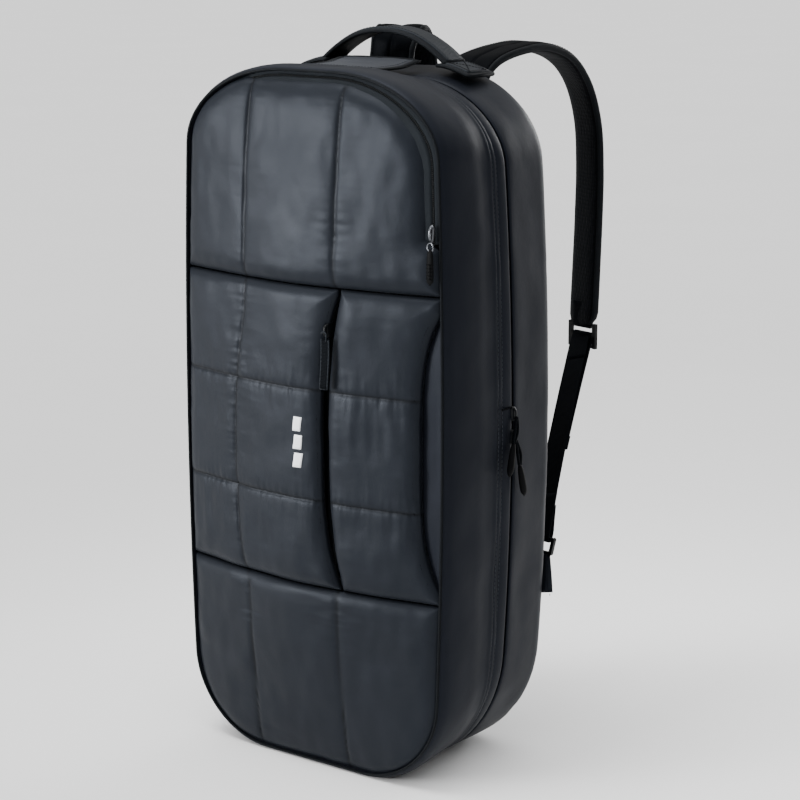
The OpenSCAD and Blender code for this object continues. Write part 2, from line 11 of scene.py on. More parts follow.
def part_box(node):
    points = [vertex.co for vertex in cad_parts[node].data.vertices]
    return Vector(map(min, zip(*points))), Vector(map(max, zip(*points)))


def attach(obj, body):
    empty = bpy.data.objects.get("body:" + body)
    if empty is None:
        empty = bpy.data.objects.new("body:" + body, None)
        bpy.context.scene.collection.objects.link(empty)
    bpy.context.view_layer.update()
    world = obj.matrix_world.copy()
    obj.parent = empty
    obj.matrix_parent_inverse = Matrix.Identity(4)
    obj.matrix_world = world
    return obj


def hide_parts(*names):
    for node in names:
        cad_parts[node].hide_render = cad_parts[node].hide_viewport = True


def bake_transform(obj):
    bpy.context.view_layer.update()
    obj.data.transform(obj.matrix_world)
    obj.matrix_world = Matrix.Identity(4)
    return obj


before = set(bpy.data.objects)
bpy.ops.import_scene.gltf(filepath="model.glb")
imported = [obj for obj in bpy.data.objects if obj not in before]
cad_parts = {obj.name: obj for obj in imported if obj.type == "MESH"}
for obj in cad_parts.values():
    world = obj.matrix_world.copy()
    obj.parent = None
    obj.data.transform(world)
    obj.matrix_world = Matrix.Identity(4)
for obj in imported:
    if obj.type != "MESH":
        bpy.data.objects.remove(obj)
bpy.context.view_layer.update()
MM = 1000.0

# Without a seed, noise_vector starts from the clock
noise.seed_set(1)


# ---- Sizes read from the frame ----


front_low, front_high = (np.array(p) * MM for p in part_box("front_gusset"))
rear_low, rear_high = (np.array(p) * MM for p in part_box("rear_gusset"))
zip_y = (front_high[1] + rear_low[1]) / 2


def row_frame(point):
    """A point about the zip plane in millimetres, as the frame's metres."""
    return tuple((np.asarray(point, float) + [0, zip_y, 0]) / MM)


def node_box(node):
    """A node's lowest and highest corners, in millimetres about the zip plane."""
    return [np.array(p) * MM - [0, zip_y, 0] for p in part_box(node)]


bag_h = front_high[2]
front_depth = zip_y - front_low[1]
back_y = rear_high[1] - zip_y
rear_round = 22
rear_depth = back_y - rear_round
middle_y = -0.52 * front_depth

# An outline ring: half width, bow, height, then the radii of its top and bottom corners in x and z
SEAM_RING = np.array([162, 10, bag_h, 130, 83, 98, 93])
MIDDLE_RING = np.array([165, 16.2, bag_h - 3, 118, 84, 101, 112])
ZIP_RING = np.array([165, 19, bag_h - 13, 110, 82, 105, 130])
REAR_RING = np.array([161, 19, bag_h - 6, 107, 88, 100, 120])
LID_RING = np.array([139, 10, bag_h - 17, 112, 79, 98, 93])
CROWN = 26

ROW_1 = 515
ROW_2 = 410
ROW_3 = 295
ROW_4 = 202
FOLD_Z = 562


def seam_a(z):
    """The left quilting seam, which bows outwards in the middle section."""
    bulge = np.clip(1 - ((z - 330) / 150) ** 2, 0, 1)
    return -70 - 16 * bulge


def seam_b(z):
    """The right quilting seam, which is straight."""
    return 50 + 0 * z


# ---- Outlines and surfaces ----


def mix(a, b, t):
    return a + (b - a) * t


def ring_at(y):
    """The shell's ring at depth y."""
    if y < middle_y:
        return mix(SEAM_RING, MIDDLE_RING, max(0, (y + front_depth) / (middle_y + front_depth)))
    if y < 0:
        return mix(MIDDLE_RING, ZIP_RING, (y - middle_y) / -middle_y)
    return mix(ZIP_RING, REAR_RING, min(1, y / rear_depth))


CORNER_N = 18
SIDE_N = 56
FLAT_N = 8
HALF_N = 2 * FLAT_N + 2 * CORNER_N + SIDE_N


def outline(ring, inset=0.0):
    """Points [x, z] round a ring moved inwards by inset: from the bottom centre, up the right side first."""
    half, bow, height, top_x, top_z, foot_x, foot_z = ring
    half, top_x, top_z, foot_x, foot_z = (v - inset for v in (half, top_x, top_z, foot_x, foot_z))
    low, high = inset, height - inset
    start, end = low + foot_z, high - top_z
    angle = np.linspace(-math.pi / 2, 0, CORNER_N, endpoint=False)
    foot = np.stack([half - foot_x + foot_x * np.cos(angle), start + foot_z * np.sin(angle)], 1)
    side = np.stack([np.full(SIDE_N, half), np.linspace(start, end, SIDE_N, endpoint=False)], 1)
    angle = np.linspace(0, math.pi / 2, CORNER_N, endpoint=False)
    top = np.stack([half - top_x + top_x * np.cos(angle), end + top_z * np.sin(angle)], 1)
    under = np.stack([np.linspace(0, half - foot_x, FLAT_N, endpoint=False), np.full(FLAT_N, low)], 1)
    over = np.stack([np.linspace(half - top_x, 0, FLAT_N, endpoint=False), np.full(FLAT_N, high)], 1)
    right = np.concatenate([under, foot, side, top, over])
    left = np.concatenate([[[0, high]], right[:0:-1] * [-1, 1]])
    points = np.concatenate([right, left])
    v = 2 * points[:, 1] / height - 1
    u = np.abs(points[:, 0]) / half
    points[:, 0] += np.sign(points[:, 0]) * bow * (1 - v * v) * u * u
    return points


RING_N = 2 * HALF_N


def half_at(ring, z, inset=0.0):
    """Half width of a ring at height z, moved inwards by inset."""
    half, bow, height, top_x, top_z, foot_x, foot_z = ring
    half, top_x, top_z, foot_x, foot_z = (v - inset for v in (half, top_x, top_z, foot_x, foot_z))
    z = np.asarray(z, float)
    over = np.clip((z - height + inset + top_z) / top_z, 0, 1)
    under = np.clip((inset + foot_z - z) / foot_z, 0, 1)
    high_x = half - top_x + top_x * np.sqrt(1 - over**2)
    low_x = half - foot_x + foot_x * np.sqrt(1 - under**2)
    x = np.where(over > 0, high_x, low_x)
    v = 2 * z / height - 1
    return x + bow * (1 - v * v) * (x / half) ** 2


def crown_y(x, z):
    """Depth of the crowned front face."""
    u = np.clip(np.abs(x) / 170, 0, 1)
    v = np.clip(np.abs(2 * z / bag_h - 1), 0, 1)
    return -front_depth - CROWN * (1 - u**1.6) * (1 - v**3)


def noise_at(a, b, c):
    """Smooth noise from -1 to 1 for arrays of coordinates."""
    a, b, c = np.broadcast_arrays(a, b, c)
    values = [noise.noise(Vector(p)) for p in zip(a.ravel(), b.ravel(), c.ravel())]
    return np.array(values).reshape(a.shape)


# ---- Mesh makers ----


def make(name, points, faces, material, body, smooth=True, crease_shade=None):
    """A mesh object from points in millimetres about the zip plane, riding on a body."""
    points = (np.asarray(points, float) + [0, zip_y, 0]) / MM
    mesh = bpy.data.meshes.new(name)
    mesh.from_pydata(points.tolist(), [], [[int(i) for i in face] for face in faces])
    mesh.materials.append(material)
    mesh.polygons.foreach_set("use_smooth", [smooth] * len(mesh.polygons))
    work = bmesh.new()
    work.from_mesh(mesh)
    bmesh.ops.recalc_face_normals(work, faces=work.faces)
    work.to_mesh(mesh)
    work.free()
    # Painted shade in the creases, one value per point, for the material
    if crease_shade is not None:
        attribute = mesh.attributes.new("crease_shade", "FLOAT", "POINT")
        attribute.data.foreach_set("value", np.asarray(crease_shade, "f").ravel())
    piece = bpy.data.objects.new(name, mesh)
    bpy.context.scene.collection.objects.link(piece)
    if body:
        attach(piece, body)
    return piece


def grid_faces(index, wrap_rows=False, wrap_cols=False):
    """Quads over a grid of point numbers."""
    if wrap_rows:
        index = np.vstack([index, index[:1]])
    if wrap_cols:
        index = np.hstack([index, index[:, :1]])
    quads = np.stack([index[:-1, :-1], index[:-1, 1:], index[1:, 1:], index[1:, :-1]], -1)
    return quads.reshape(-1, 4).tolist()


def tube(sections):
    """Points and faces of a solid through closed sections [section, point, xyz], with capped ends."""
    sections = np.asarray(sections, float)
    n, m = sections.shape[:2]
    index = np.arange(n * m).reshape(n, m)
    faces = grid_faces(index, wrap_cols=True) + [index[0][::-1].tolist(), index[-1].tolist()]
    return sections.reshape(-1, 3), faces


def closed_sheet(front, back):
    """Points and faces of a solid between two grids of points."""
    rows, cols = front.shape[:2]
    index = np.arange(rows * cols).reshape(rows, cols)
    other = index + rows * cols
    rim = np.concatenate([index[0, :-1], index[:-1, -1], index[-1, :0:-1], index[:0:-1, 0]])
    edges = [[a, b, b + rows * cols, a + rows * cols] for a, b in zip(rim, np.roll(rim, -1))]
    faces = grid_faces(index) + grid_faces(other[::-1]) + edges
    return np.concatenate([front.reshape(-1, 3), back.reshape(-1, 3)]), faces


def dress(piece, slot, *nodes, fill=None):
    """Hides the nodes that a piece replaces, and returns the piece; slot and fill are not used."""
    if nodes:
        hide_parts(*nodes)
    return piece


class Parts:
    """Several small solids gathered in one mesh."""

    def __init__(self):
        self.points = []
        self.faces = []
        self.count = 0

    def add(self, points, faces):
        self.faces += [[i + self.count for i in face] for face in faces]
        self.points.append(np.asarray(points, float))
        self.count += len(points)

    def cord(self, line, radius, n=8):
        """A round cord along a line."""
        line = np.asarray(line, float)
        t = unit(np.gradient(line, axis=0))
        guide = np.where(np.abs(t[:, :1]) > 0.8, [[0, 1, 0]], [[1, 0, 0]])
        self.add(*tube(along(line, guide, round_section(radius, n))))

    def sew(self, line, normal, kind):
        """A row of stitches lying on a surface along a line. kind is a stitch's pitch, length and radius."""
        pitch, length, radius = kind
        line = spaced(line, pitch)
        normal = np.atleast_2d(np.asarray(normal, float))
        source = np.linspace(0, 1, len(normal))
        want = np.linspace(0, 1, len(line))
        normal = unit(np.stack([np.interp(want, source, normal[:, k]) for k in range(3)], 1))
        direction = unit(np.gradient(line, axis=0))
        for c, d, n in zip(line, direction, normal):
            side = np.cross(d, n)
            ring = [side * math.cos(a) + n * 0.8 * math.sin(a) for a in turns(5)]
            self.add(*tube([[c + d * place * length / 2 + swell * radius * r for r in ring]
                            for place, swell in ((-1, 0.15), (-0.75, 1), (0.75, 1), (1, 0.15))]))

    def make(self, name, material, body, smooth=True):
        return make(name, np.concatenate(self.points), self.faces, material, body, smooth)


# Pitch, length and radius of each kind of stitch
COVER_STITCH = (4.5, 3.0, 0.4)
QUILT_STITCH = (4.0, 2.9, 0.3)
FLAP_STITCH = (4.0, 2.9, 0.4)
STRAP_STITCH = (4.4, 3.0, 0.4)
HANDLE_STITCH = (4.2, 3.0, 0.42)
BOX_STITCH = (3.4, 2.6, 0.5)
BAR_STITCH = (3.0, 2.3, 0.5)
TAB_STITCH = (4.0, 2.8, 0.4)

HALF_TURN = np.radians(np.arange(0, 181, 20))


def turns(n):
    """Angles at n even places round a circle."""
    return np.arange(n) * 2 * math.pi / n


def unit(v):
    v = np.asarray(v, float)
    return v / np.linalg.norm(v, axis=-1, keepdims=True)


def smooth_curve(route, steps):
    """A smooth line through the route's points, with a number of steps between neighbours."""
    q = np.array(route, float)
    q = np.vstack([2 * q[0] - q[1], q, 2 * q[-1] - q[-2]])
    out = []
    for i in range(1, len(q) - 2):
        for t in np.arange(steps) / steps:
            out.append(0.5 * (2 * q[i] + t * (q[i + 1] - q[i - 1])
                              + t * t * (2 * q[i - 1] - 5 * q[i] + 4 * q[i + 1] - q[i + 2])
                              + t**3 * (3 * q[i] - q[i - 1] - 3 * q[i + 1] + q[i + 2])))
    return np.array(out + [q[-2]])


def distances(line):
    """How far along a line each of its points lies."""
    return np.concatenate([[0], np.cumsum(np.linalg.norm(np.diff(line, axis=0), axis=1))])


def spaced(line, gap):
    """The same line as points an even distance apart."""
    line = np.asarray(line, float)
    lengths = distances(line)
    count = max(2, int(round(lengths[-1] / gap)) + 1)
    want = np.linspace(0, lengths[-1], count)
    return np.stack([np.interp(want, lengths, line[:, k]) for k in range(3)], 1)


def sweep_axes(line, across):
    """The width and up directions of each point of a line, square to it."""
    t = unit(np.gradient(line, axis=0))
    w = np.broadcast_to(across, line.shape)
    w = unit(w - np.sum(w * t, 1, keepdims=True) * t)
    return w, np.cross(w, t)


def along(line, across, section):
    """Sections swept along a line: across is each point's width direction, section its (width, up) points."""
    line = np.asarray(line, float)
    w, up = sweep_axes(line, across)
    section = np.asarray(section, float)
    return line[:, None] + section[..., :1] * w[:, None] + section[..., 1:] * up[:, None]


def band_section(width, thick, n=7, corner=0.4):
    """The section of a flat band with rounded edges."""
    x = np.linspace(-1, 1, n)
    top = np.stack([x * (width / 2 - corner * thick), np.full(n, thick / 2)], 1)
    right = [[width / 2, thick * 0.2], [width / 2, -thick * 0.2]]
    return np.concatenate([top, right, top[::-1] * [1, -1], np.array(right)[::-1] * [-1, 1]])


def round_section(radius, n=8):
    return radius * np.stack([np.cos(turns(n)), np.sin(turns(n))], 1)


def repeated(section, count):
    """The same section for every point of a line, ready to be changed."""
    return np.tile(section, (count, 1, 1))


# ---- Materials ----


BLUE_GLOSS = (0.78, 0.86, 1.0)
# The colour of the painted shade along seam creases
CREASE_SHADE_COLOR = (0.001, 0.001, 0.0012, 1)


def shader(name, color, roughness, metallic=0.0, sheen=0.0, sheen_roughness=0.4, specular=0.5,
           gloss=(1, 1, 1)):
    """A material and its Principled shader. gloss tints what it reflects."""
    material = bpy.data.materials.new(name)
    material.use_nodes = True
    tree = material.node_tree
    principled = tree.nodes["Principled BSDF"]
    principled.inputs["Base Color"].default_value = (*color, 1)
    principled.inputs["Roughness"].default_value = roughness
    principled.inputs["Metallic"].default_value = metallic
    principled.inputs["Sheen Weight"].default_value = sheen
    principled.inputs["Sheen Roughness"].default_value = sheen_roughness
    principled.inputs["Sheen Tint"].default_value = (0.75, 0.85, 1.0, 1)
    principled.inputs["Specular IOR Level"].default_value = specular
    principled.inputs["Specular Tint"].default_value = (*gloss, 1)
    return material, tree, principled


def add_node(tree, kind, **settings):
    node = tree.nodes.new(kind)
    for key, value in settings.items():
        if hasattr(node, key):
            setattr(node, key, value)
        else:
            node.inputs[key.replace("_", " ")].default_value = value
    return node


def ramp_node(tree, low, high, low_color, high_color):
    """A colour ramp between two colours."""
    ramp = tree.nodes.new("ShaderNodeValToRGB")
    for element, place, color in zip(ramp.color_ramp.elements, (low, high), (low_color, high_color)):
        element.position = place
        element.color = (*color, 1)
    return ramp


def object_space(tree, scale=(1, 1, 1), rotation=(0, 0, 0)):
    """The piece's own coordinates in metres, scaled."""
    coordinates = tree.nodes.new("ShaderNodeTexCoord")
    mapping = tree.nodes.new("ShaderNodeMapping")
    mapping.inputs["Scale"].default_value = scale
    mapping.inputs["Rotation"].default_value = rotation
    tree.links.new(coordinates.outputs["Object"], mapping.inputs["Vector"])
    return mapping.outputs["Vector"]


def vary(tree, principled, color, spread, scale=9.0, detail=4.0, shade_creases=False):
    """The base colour drifts a little, as dye and handling make it. It can also paint shade along the cloth's
    seams, from a per-point attribute.
    """
    cloud = add_node(tree, "ShaderNodeTexNoise", Scale=scale, Detail=detail, Roughness=0.55)
    tree.links.new(object_space(tree), cloud.inputs["Vector"])
    ramp = ramp_node(tree, 0.3, 0.7, [c * (1 - spread) for c in color], [c * (1 + spread) for c in color])
    tree.links.new(cloud.outputs["Fac"], ramp.inputs["Fac"])
    if not shade_creases:
        tree.links.new(ramp.outputs["Color"], principled.inputs["Base Color"])
        return
    # Painted shade: the per-point attribute mixes the colour towards the crease shade colour
    crease_shade = tree.nodes.new("ShaderNodeAttribute")
    crease_shade.attribute_name = "crease_shade"
    shade = tree.nodes.new("ShaderNodeMix")
    shade.data_type = "RGBA"
    tree.links.new(crease_shade.outputs["Fac"], shade.inputs["Factor"])
    tree.links.new(ramp.outputs["Color"], shade.inputs[6])
    shade.inputs[7].default_value = CREASE_SHADE_COLOR
    tree.links.new(shade.outputs[2], principled.inputs["Base Color"])


def bump_chain(tree, principled, layers):
    """Bump from several height outputs, each (socket, strength, distance in metres)."""
    last = None
    for socket, strength, distance in layers:
        bump = add_node(tree, "ShaderNodeBump", Strength=strength, Distance=distance)
        tree.links.new(socket, bump.inputs["Height"])
        if last:
            tree.links.new(last, bump.inputs["Normal"])
        last = bump.outputs["Normal"]
    tree.links.new(last, principled.inputs["Normal"])


def weave_height(tree, pitch):
    """Two crossed sets of threads, pitch metres apart."""
    heights = []
    for direction in ("X", "Z"):
        wave = add_node(tree, "ShaderNodeTexWave", Scale=0.5 / pitch, Distortion=0.6, Detail=1.0)
        wave.bands_direction = direction
        tree.links.new(object_space(tree, rotation=(0, 0, 0.4)), wave.inputs["Vector"])
        heights.append(wave.outputs["Fac"])
    both = add_node(tree, "ShaderNodeMath", operation="MULTIPLY")
    tree.links.new(heights[0], both.inputs[0])
    tree.links.new(heights[1], both.inputs[1])
    return both.outputs[0]


def crumple_height(tree, scale, detail=3.0):
    """Soft noise heights."""
    cloud = add_node(tree, "ShaderNodeTexNoise", Scale=scale, Detail=detail, Roughness=0.5)
    tree.links.new(object_space(tree), cloud.inputs["Vector"])
    return cloud.outputs["Fac"]


def vary_roughness(tree, principled, low, high, scale):
    rough = add_node(tree, "ShaderNodeMapRange", To_Min=low, To_Max=high)
    tree.links.new(crumple_height(tree, scale), rough.inputs["Value"])
    tree.links.new(rough.outputs["Result"], principled.inputs["Roughness"])


def nylon(name, color, roughness, sheen, crumple=0.28, specular=0.13):
    """Fine shiny woven nylon: a soft bluish gloss, tiny threads and a light crumple."""
    material, tree, principled = shader(name, color, roughness, sheen=sheen, sheen_roughness=0.45,
                                        specular=specular, gloss=BLUE_GLOSS)
    # Paints shade along the seams of meshes that carry the attribute
    vary(tree, principled, color, 0.10, shade_creases=True)
    vary_roughness(tree, principled, roughness - 0.05, roughness + 0.07, 24)
    bump_chain(tree, principled, [
        (weave_height(tree, 0.0011), 0.16, 0.00012),
        (crumple_height(tree, 75), crumple, 0.0011),
        (crumple_height(tree, 260, 2.0), 0.3 * crumple, 0.0004)])
    return material


def webbing(name, color, roughness=0.6, pitch=0.0022, axis="Z", specular=0.1):
    """Ribbed webbing: fine diagonal ribs with a rough thread surface."""
    material, tree, principled = shader(name, color, roughness, specular=specular, gloss=BLUE_GLOSS)
    vary(tree, principled, color, 0.16, scale=40)
    ribs = add_node(tree, "ShaderNodeTexWave", Scale=0.5 / pitch, Distortion=0.8, Detail=1.5)
    ribs.bands_direction = axis
    tree.links.new(object_space(tree, rotation=(0.5, 0, 0.5)), ribs.inputs["Vector"])
    bump_chain(tree, principled, [
        (ribs.outputs["Fac"], 0.45, 0.0004),
        (crumple_height(tree, 500, 2.0), 0.3, 0.0003)])
    return material


def spacer_mesh(name, color, hole=0.0034):
    """Knitted spacer mesh: rows of small holes between rounded ribs, the holes darkened by painted shade."""
    material, tree, principled = shader(name, color, 0.72, sheen=0.01, sheen_roughness=0.55, specular=0.03)
    cells = add_node(tree, "ShaderNodeTexVoronoi", Scale=1 / hole, Randomness=0.25)
    cells.feature = "F1"
    tree.links.new(object_space(tree, scale=(1, 1, 0.8)), cells.inputs["Vector"])
    # Painted shade: the holes take a quarter of the yarn's colour, for the depth inside them
    ramp = ramp_node(tree, 0.18, 0.46, [c * 0.25 for c in color], color)
    tree.links.new(cells.outputs["Distance"], ramp.inputs["Fac"])
    tree.links.new(ramp.outputs["Color"], principled.inputs["Base Color"])
    bump_chain(tree, principled, [
        (cells.outputs["Distance"], 0.7, 0.0012),
        (crumple_height(tree, 900, 1.0), 0.2, 0.0002)])
    return material


def moulded(name, color, roughness, metallic=0.0, grain=900, worn=0.25, specular=0.3):
    """Moulded plastic, rubber or coated metal, with a fine grain and slightly polished wear."""
    material, tree, principled = shader(name, color, roughness, metallic=metallic, specular=specular)
    vary(tree, principled, color, worn, scale=60)
    vary_roughness(tree, principled, roughness - 0.08, roughness + 0.1, 120)
    bump_chain(tree, principled, [(crumple_height(tree, grain, 2.0), 0.12, 0.0002)])
    return material


SHELL = nylon("shell_nylon", (0.0068, 0.0082, 0.0112), 0.45, 0.01)
# A darker copy of the shell nylon: painted shade for the gussets, back, tabs and pocket inside
SHADED_SHELL = nylon("shell_nylon_shaded", (0.0058, 0.0068, 0.0102), 0.46, 0.005, 0.2, 0.09)
STRAP = nylon("strap_nylon", (0.0005, 0.0007, 0.0011), 0.5, 0.0, 0.2, 0.02)
LINING = nylon("lining", (0.016, 0.018, 0.021), 0.6, 0.05)
MESH = spacer_mesh("air_mesh", (0.0025, 0.003, 0.004))
WEBBING = webbing("webbing", (0.0014, 0.0018, 0.0025), specular=0.03)
HANDLE = webbing("handle_webbing", (0.0085, 0.0102, 0.0125), 0.5, 0.0026, "Y")
FLAP = nylon("flap_nylon", (0.032, 0.0345, 0.04), 0.45, 0.01, 0.25)
TAPE = webbing("zip_tape", (0.006, 0.0075, 0.009), 0.6, 0.0016)
BINDING = webbing("binding", (0.003, 0.0035, 0.004), 0.6, 0.0016)
THREAD = webbing("dark_thread", (0.0012, 0.0015, 0.002), 0.7, 0.001, specular=0.02)
PALE_THREAD = webbing("pale_thread", (0.035, 0.039, 0.046), 0.5, 0.001)
COIL = moulded("zip_coil", (0.0035, 0.0042, 0.005), 0.4, specular=0.12)
SLIDER = moulded("slider_metal", (0.11, 0.115, 0.125), 0.36, metallic=1.0, grain=400)
RUBBER = moulded("puller_rubber", (0.0012, 0.0014, 0.0018), 0.6, specular=0.06)
PLASTIC = moulded("buckle_plastic", (0.0025, 0.0028, 0.0034), 0.36, specular=0.15)
BOARD = moulded("board_plastic", (0.03, 0.03, 0.033), 0.45)
FOAM = moulded("foam", (0.5, 0.5, 0.5), 0.85, grain=300)
PRINT = moulded("mark_print", (0.82, 0.84, 0.86), 0.4, worn=0.05)


# ---- Camera, lights and floor ----


def look_at(piece, target):
    direction = Vector(target) - piece.location
    piece.rotation_euler = direction.to_track_quat("-Z", "Y").to_euler()


# The camera was fitted to the photo; places are in millimetres about the zip plane
CAMERA_PLACE = (1488.3, -1876.9, 899.0)
CAMERA_TARGET = (24.25, 22.0, 374.8)
CAMERA_LENS = 104.3


def set_camera():
    """The photograph's view: from the front right and a little above, with a long lens."""
    camera = bpy.data.objects.new("camera", bpy.data.cameras.new("camera"))
    bpy.context.scene.collection.objects.link(camera)
    camera.data.lens = CAMERA_LENS
    camera.data.sensor_width = 36
    camera.data.clip_end = 400
    camera.location = row_frame(CAMERA_PLACE)
    look_at(camera, row_frame(CAMERA_TARGET))
    bpy.context.scene.camera = camera


def area_light(name, place, target, size, power, spread):
    light = bpy.data.lights.new(name, "AREA")
    light.shape = "RECTANGLE"
    light.size, light.size_y = size
    light.energy = power
    light.spread = math.radians(spread)
    piece = bpy.data.objects.new(name, light)
    bpy.context.scene.collection.objects.link(piece)
    piece.location = place
    look_at(piece, target)


def studio_sky():
    """A sky that is bright overhead and dim at the sides, so that upright faces stay dark."""
    world = bpy.data.worlds.new("studio")
    world.use_nodes = True
    tree = world.node_tree
    coordinates = tree.nodes.new("ShaderNodeTexCoord")
    split = tree.nodes.new("ShaderNodeSeparateXYZ")
    ramp = add_node(tree, "ShaderNodeMapRange", From_Min=0.25, From_Max=0.95, To_Min=0.08, To_Max=2.3)
    tree.links.new(coordinates.outputs["Generated"], split.inputs["Vector"])
    tree.links.new(split.outputs["Z"], ramp.inputs["Value"])
    tree.links.new(ramp.outputs["Result"], tree.nodes["Background"].inputs["Strength"])
    tree.nodes["Background"].inputs["Color"].default_value = (1, 1, 1, 1)
    bpy.context.scene.world = world


# Each soft box: name, place and target in metres, size in metres, watts and spread in degrees
SOFT_BOXES = (("left_box", (-1.3, -1.8, 0.72), (-0.03, -0.1, 0.50), (1.2, 0.9), 7, 34),
              ("top_box", (-0.3, -0.4, 2.1), (0, 0, 0.72), (1.2, 0.9), 3, 44),
              ("back_box", (0.0, 2.7, 0.9), (0, 0.3, 0.4), (1.6, 1.2), 3.5, 36))

# The floor's half width in metres, and its colour
FLOOR_HALF = 150
FLOOR_COLOR = (0.95, 0.95, 0.95)


def set_stage():
    """A wide pale floor that fills the view, under soft boxes."""
    studio_sky()
    for soft_box in SOFT_BOXES:
        area_light(*soft_box)
    mesh = bpy.data.meshes.new("floor")
    corners = [(x * FLOOR_HALF, y * FLOOR_HALF, 0) for x, y in ((-1, -1), (1, -1), (1, 1), (-1, 1))]
    mesh.from_pydata(corners, [], [(0, 1, 2, 3)])
    floor = bpy.data.objects.new("floor", mesh)
    bpy.context.scene.collection.objects.link(floor)
    material, tree, principled = shader("floor_paper", FLOOR_COLOR, 0.9, specular=0.1)
    vary(tree, principled, FLOOR_COLOR, 0.01, scale=2)
    mesh.materials.append(material)


set_camera()
set_stage()


# ---- Shell: front and rear gussets ----


def shell_ring(y, inset):
    """The shell at depth y as points round the bag."""
    ring = outline(ring_at(y), inset)
    return np.stack([ring[:, 0], np.full(len(ring), y), ring[:, 1]], 1)


WRINKLE_FADE = 14


def shell_solid(profile, inner, wrinkle):
    """A ring of fabric through (y, inset) pairs, closed by an inner wall. wrinkle is its depth."""
    ys = np.array([p[0] for p in profile], float)
    insets = np.array([p[1] for p in profile], float)
    round_share = np.arange(RING_N) / RING_N
    rows = []
    for y, inset in zip(ys, insets):
        points = shell_ring(y, inset)
        normal = points[:, [0, 2]] - [0, bag_h / 2]
        normal = unit(np.stack([normal[:, 0] * 4, normal[:, 1]], 1))
        soft = wrinkle * noise_at(points[:, 0] / 60, y / 38, points[:, 2] / 60)
        soft += 0.35 * wrinkle * noise_at(round_share * 150, y / 25, 3.0)
        fade = min(1, abs(y - ys[0]) / WRINKLE_FADE, abs(y - ys[-1]) / WRINKLE_FADE)
        points[:, 0] += normal[:, 0] * soft * fade
        points[:, 2] = np.maximum(points[:, 2] + normal[:, 1] * soft * fade, 0.2)
        rows.append(points)
    for y, inset in inner:
        rows.append(shell_ring(y, inset))
    rows = np.array(rows)
    index = np.arange(rows.shape[0] * RING_N).reshape(rows.shape[0], RING_N)
    return rows.reshape(-1, 3), grid_faces(index, wrap_rows=True, wrap_cols=True)


def front_shell():
    """The front gusset: a soft roll beside the front seam, then plain fabric to the folded zip cover."""
    roll = [(-front_depth - 1.5, 3.4), (-front_depth - 0.6, 1.4), (-front_depth + 1.5, 0.0)]
    plain = [(y, 0.2 - 3.0 * math.sin(math.pi * min(1, (y + front_depth) / 60) ** 0.62))
             for y in np.arange(-front_depth + 5, -26, 5.0)]
    cover = [(-24, -0.5), (-22.5, 0.1), (-21.5, 0.5), (-20.5, 0.1), (-18.5, -0.4), (-16.5, 0.0), (-15.5, 0.4),
             (-14.5, 0.0), (-12, -0.8), (-8, -1.2), (-4, -1.3), (-2.2, -1.0), (-1.5, 0.0), (-1.9, 1.6)]
    inner = [(-5, 3.4), (-40, 3.4), (-80, 3.4), (-front_depth + 1, 5.0)]
    piece = make("front_shell", *shell_solid(roll + plain + cover, inner, 1.5), SHADED_SHELL, "front_half")
    dress(piece, "shell_nylon", "front_gusset", "zip_placket", "front_binding", fill=0.4)


def rear_shell():
    """The rear gusset, from its folded zip edge over the rounded rear edge."""
    fold = [(3.4, 2.0), (3.0, 0.2), (3.8, -0.8), (6, -1.2), (12, -1.1), (20, -0.8)]
    plain = [(y, -0.6) for y in np.arange(28, rear_depth - 3, 7.0)]
    turn = [(rear_depth + rear_round * math.sin(a), 17 * (1 - math.cos(a)) - 0.4 * math.cos(a))
            for a in np.radians(np.arange(0, 91, 10))]
    inner = [(back_y - 3, 20), (rear_depth + 10, 9), (rear_depth - 10, 3.6), (8, 3.6)]
    piece = make("rear_shell", *shell_solid(fold + plain + turn, inner, 1.4), SHADED_SHELL, "root")
    dress(piece, "shell_nylon", "rear_gusset", "rear_binding", fill=0.4)


def round_line(y, inset, first=0.0, last=1.0):
    """A line round the shell at depth y, from one share of the way round to another."""
    points = shell_ring(y, inset)
    index = np.arange(int(first * RING_N), int(last * RING_N)) % RING_N
    return points[index]


def seam_piping():
    """Piping in the front seam and in the rear edge seam."""
    for name, y, inset, radius, body in (("front_piping", -front_depth - 1.6, 3.2, 1.5, "front_half"),
                                         ("rear_piping", back_y + 0.2, 17.6, 1.4, "root")):
        line = shell_ring(y, inset)
        sections = along(np.vstack([line, line[:1]]), [0, 1, 0], round_section(radius, 6))[:-1]
        index = np.arange(RING_N * 6).reshape(RING_N, 6)
        piece = make(name, sections.reshape(-1, 3), grid_faces(index, True, True), BINDING, body)


# The zip runs from the lower left corner under the bag, up the right side and over the top
ZIP_FIRST = -0.06
ZIP_LAST = 0.64


def shell_stitching():
    """The double row beside the zip cover."""
    for name, y, inset in (("cover_stitches_a", -21.5, 0.0), ("cover_stitches_b", -15.5, -0.1)):
        line = round_line(y, inset, ZIP_FIRST, ZIP_LAST)
        threads = Parts()
        threads.sew(line, unit(line - [0, y, bag_h / 2]), COVER_STITCH)
        threads.make(name, PALE_THREAD, "front_half")


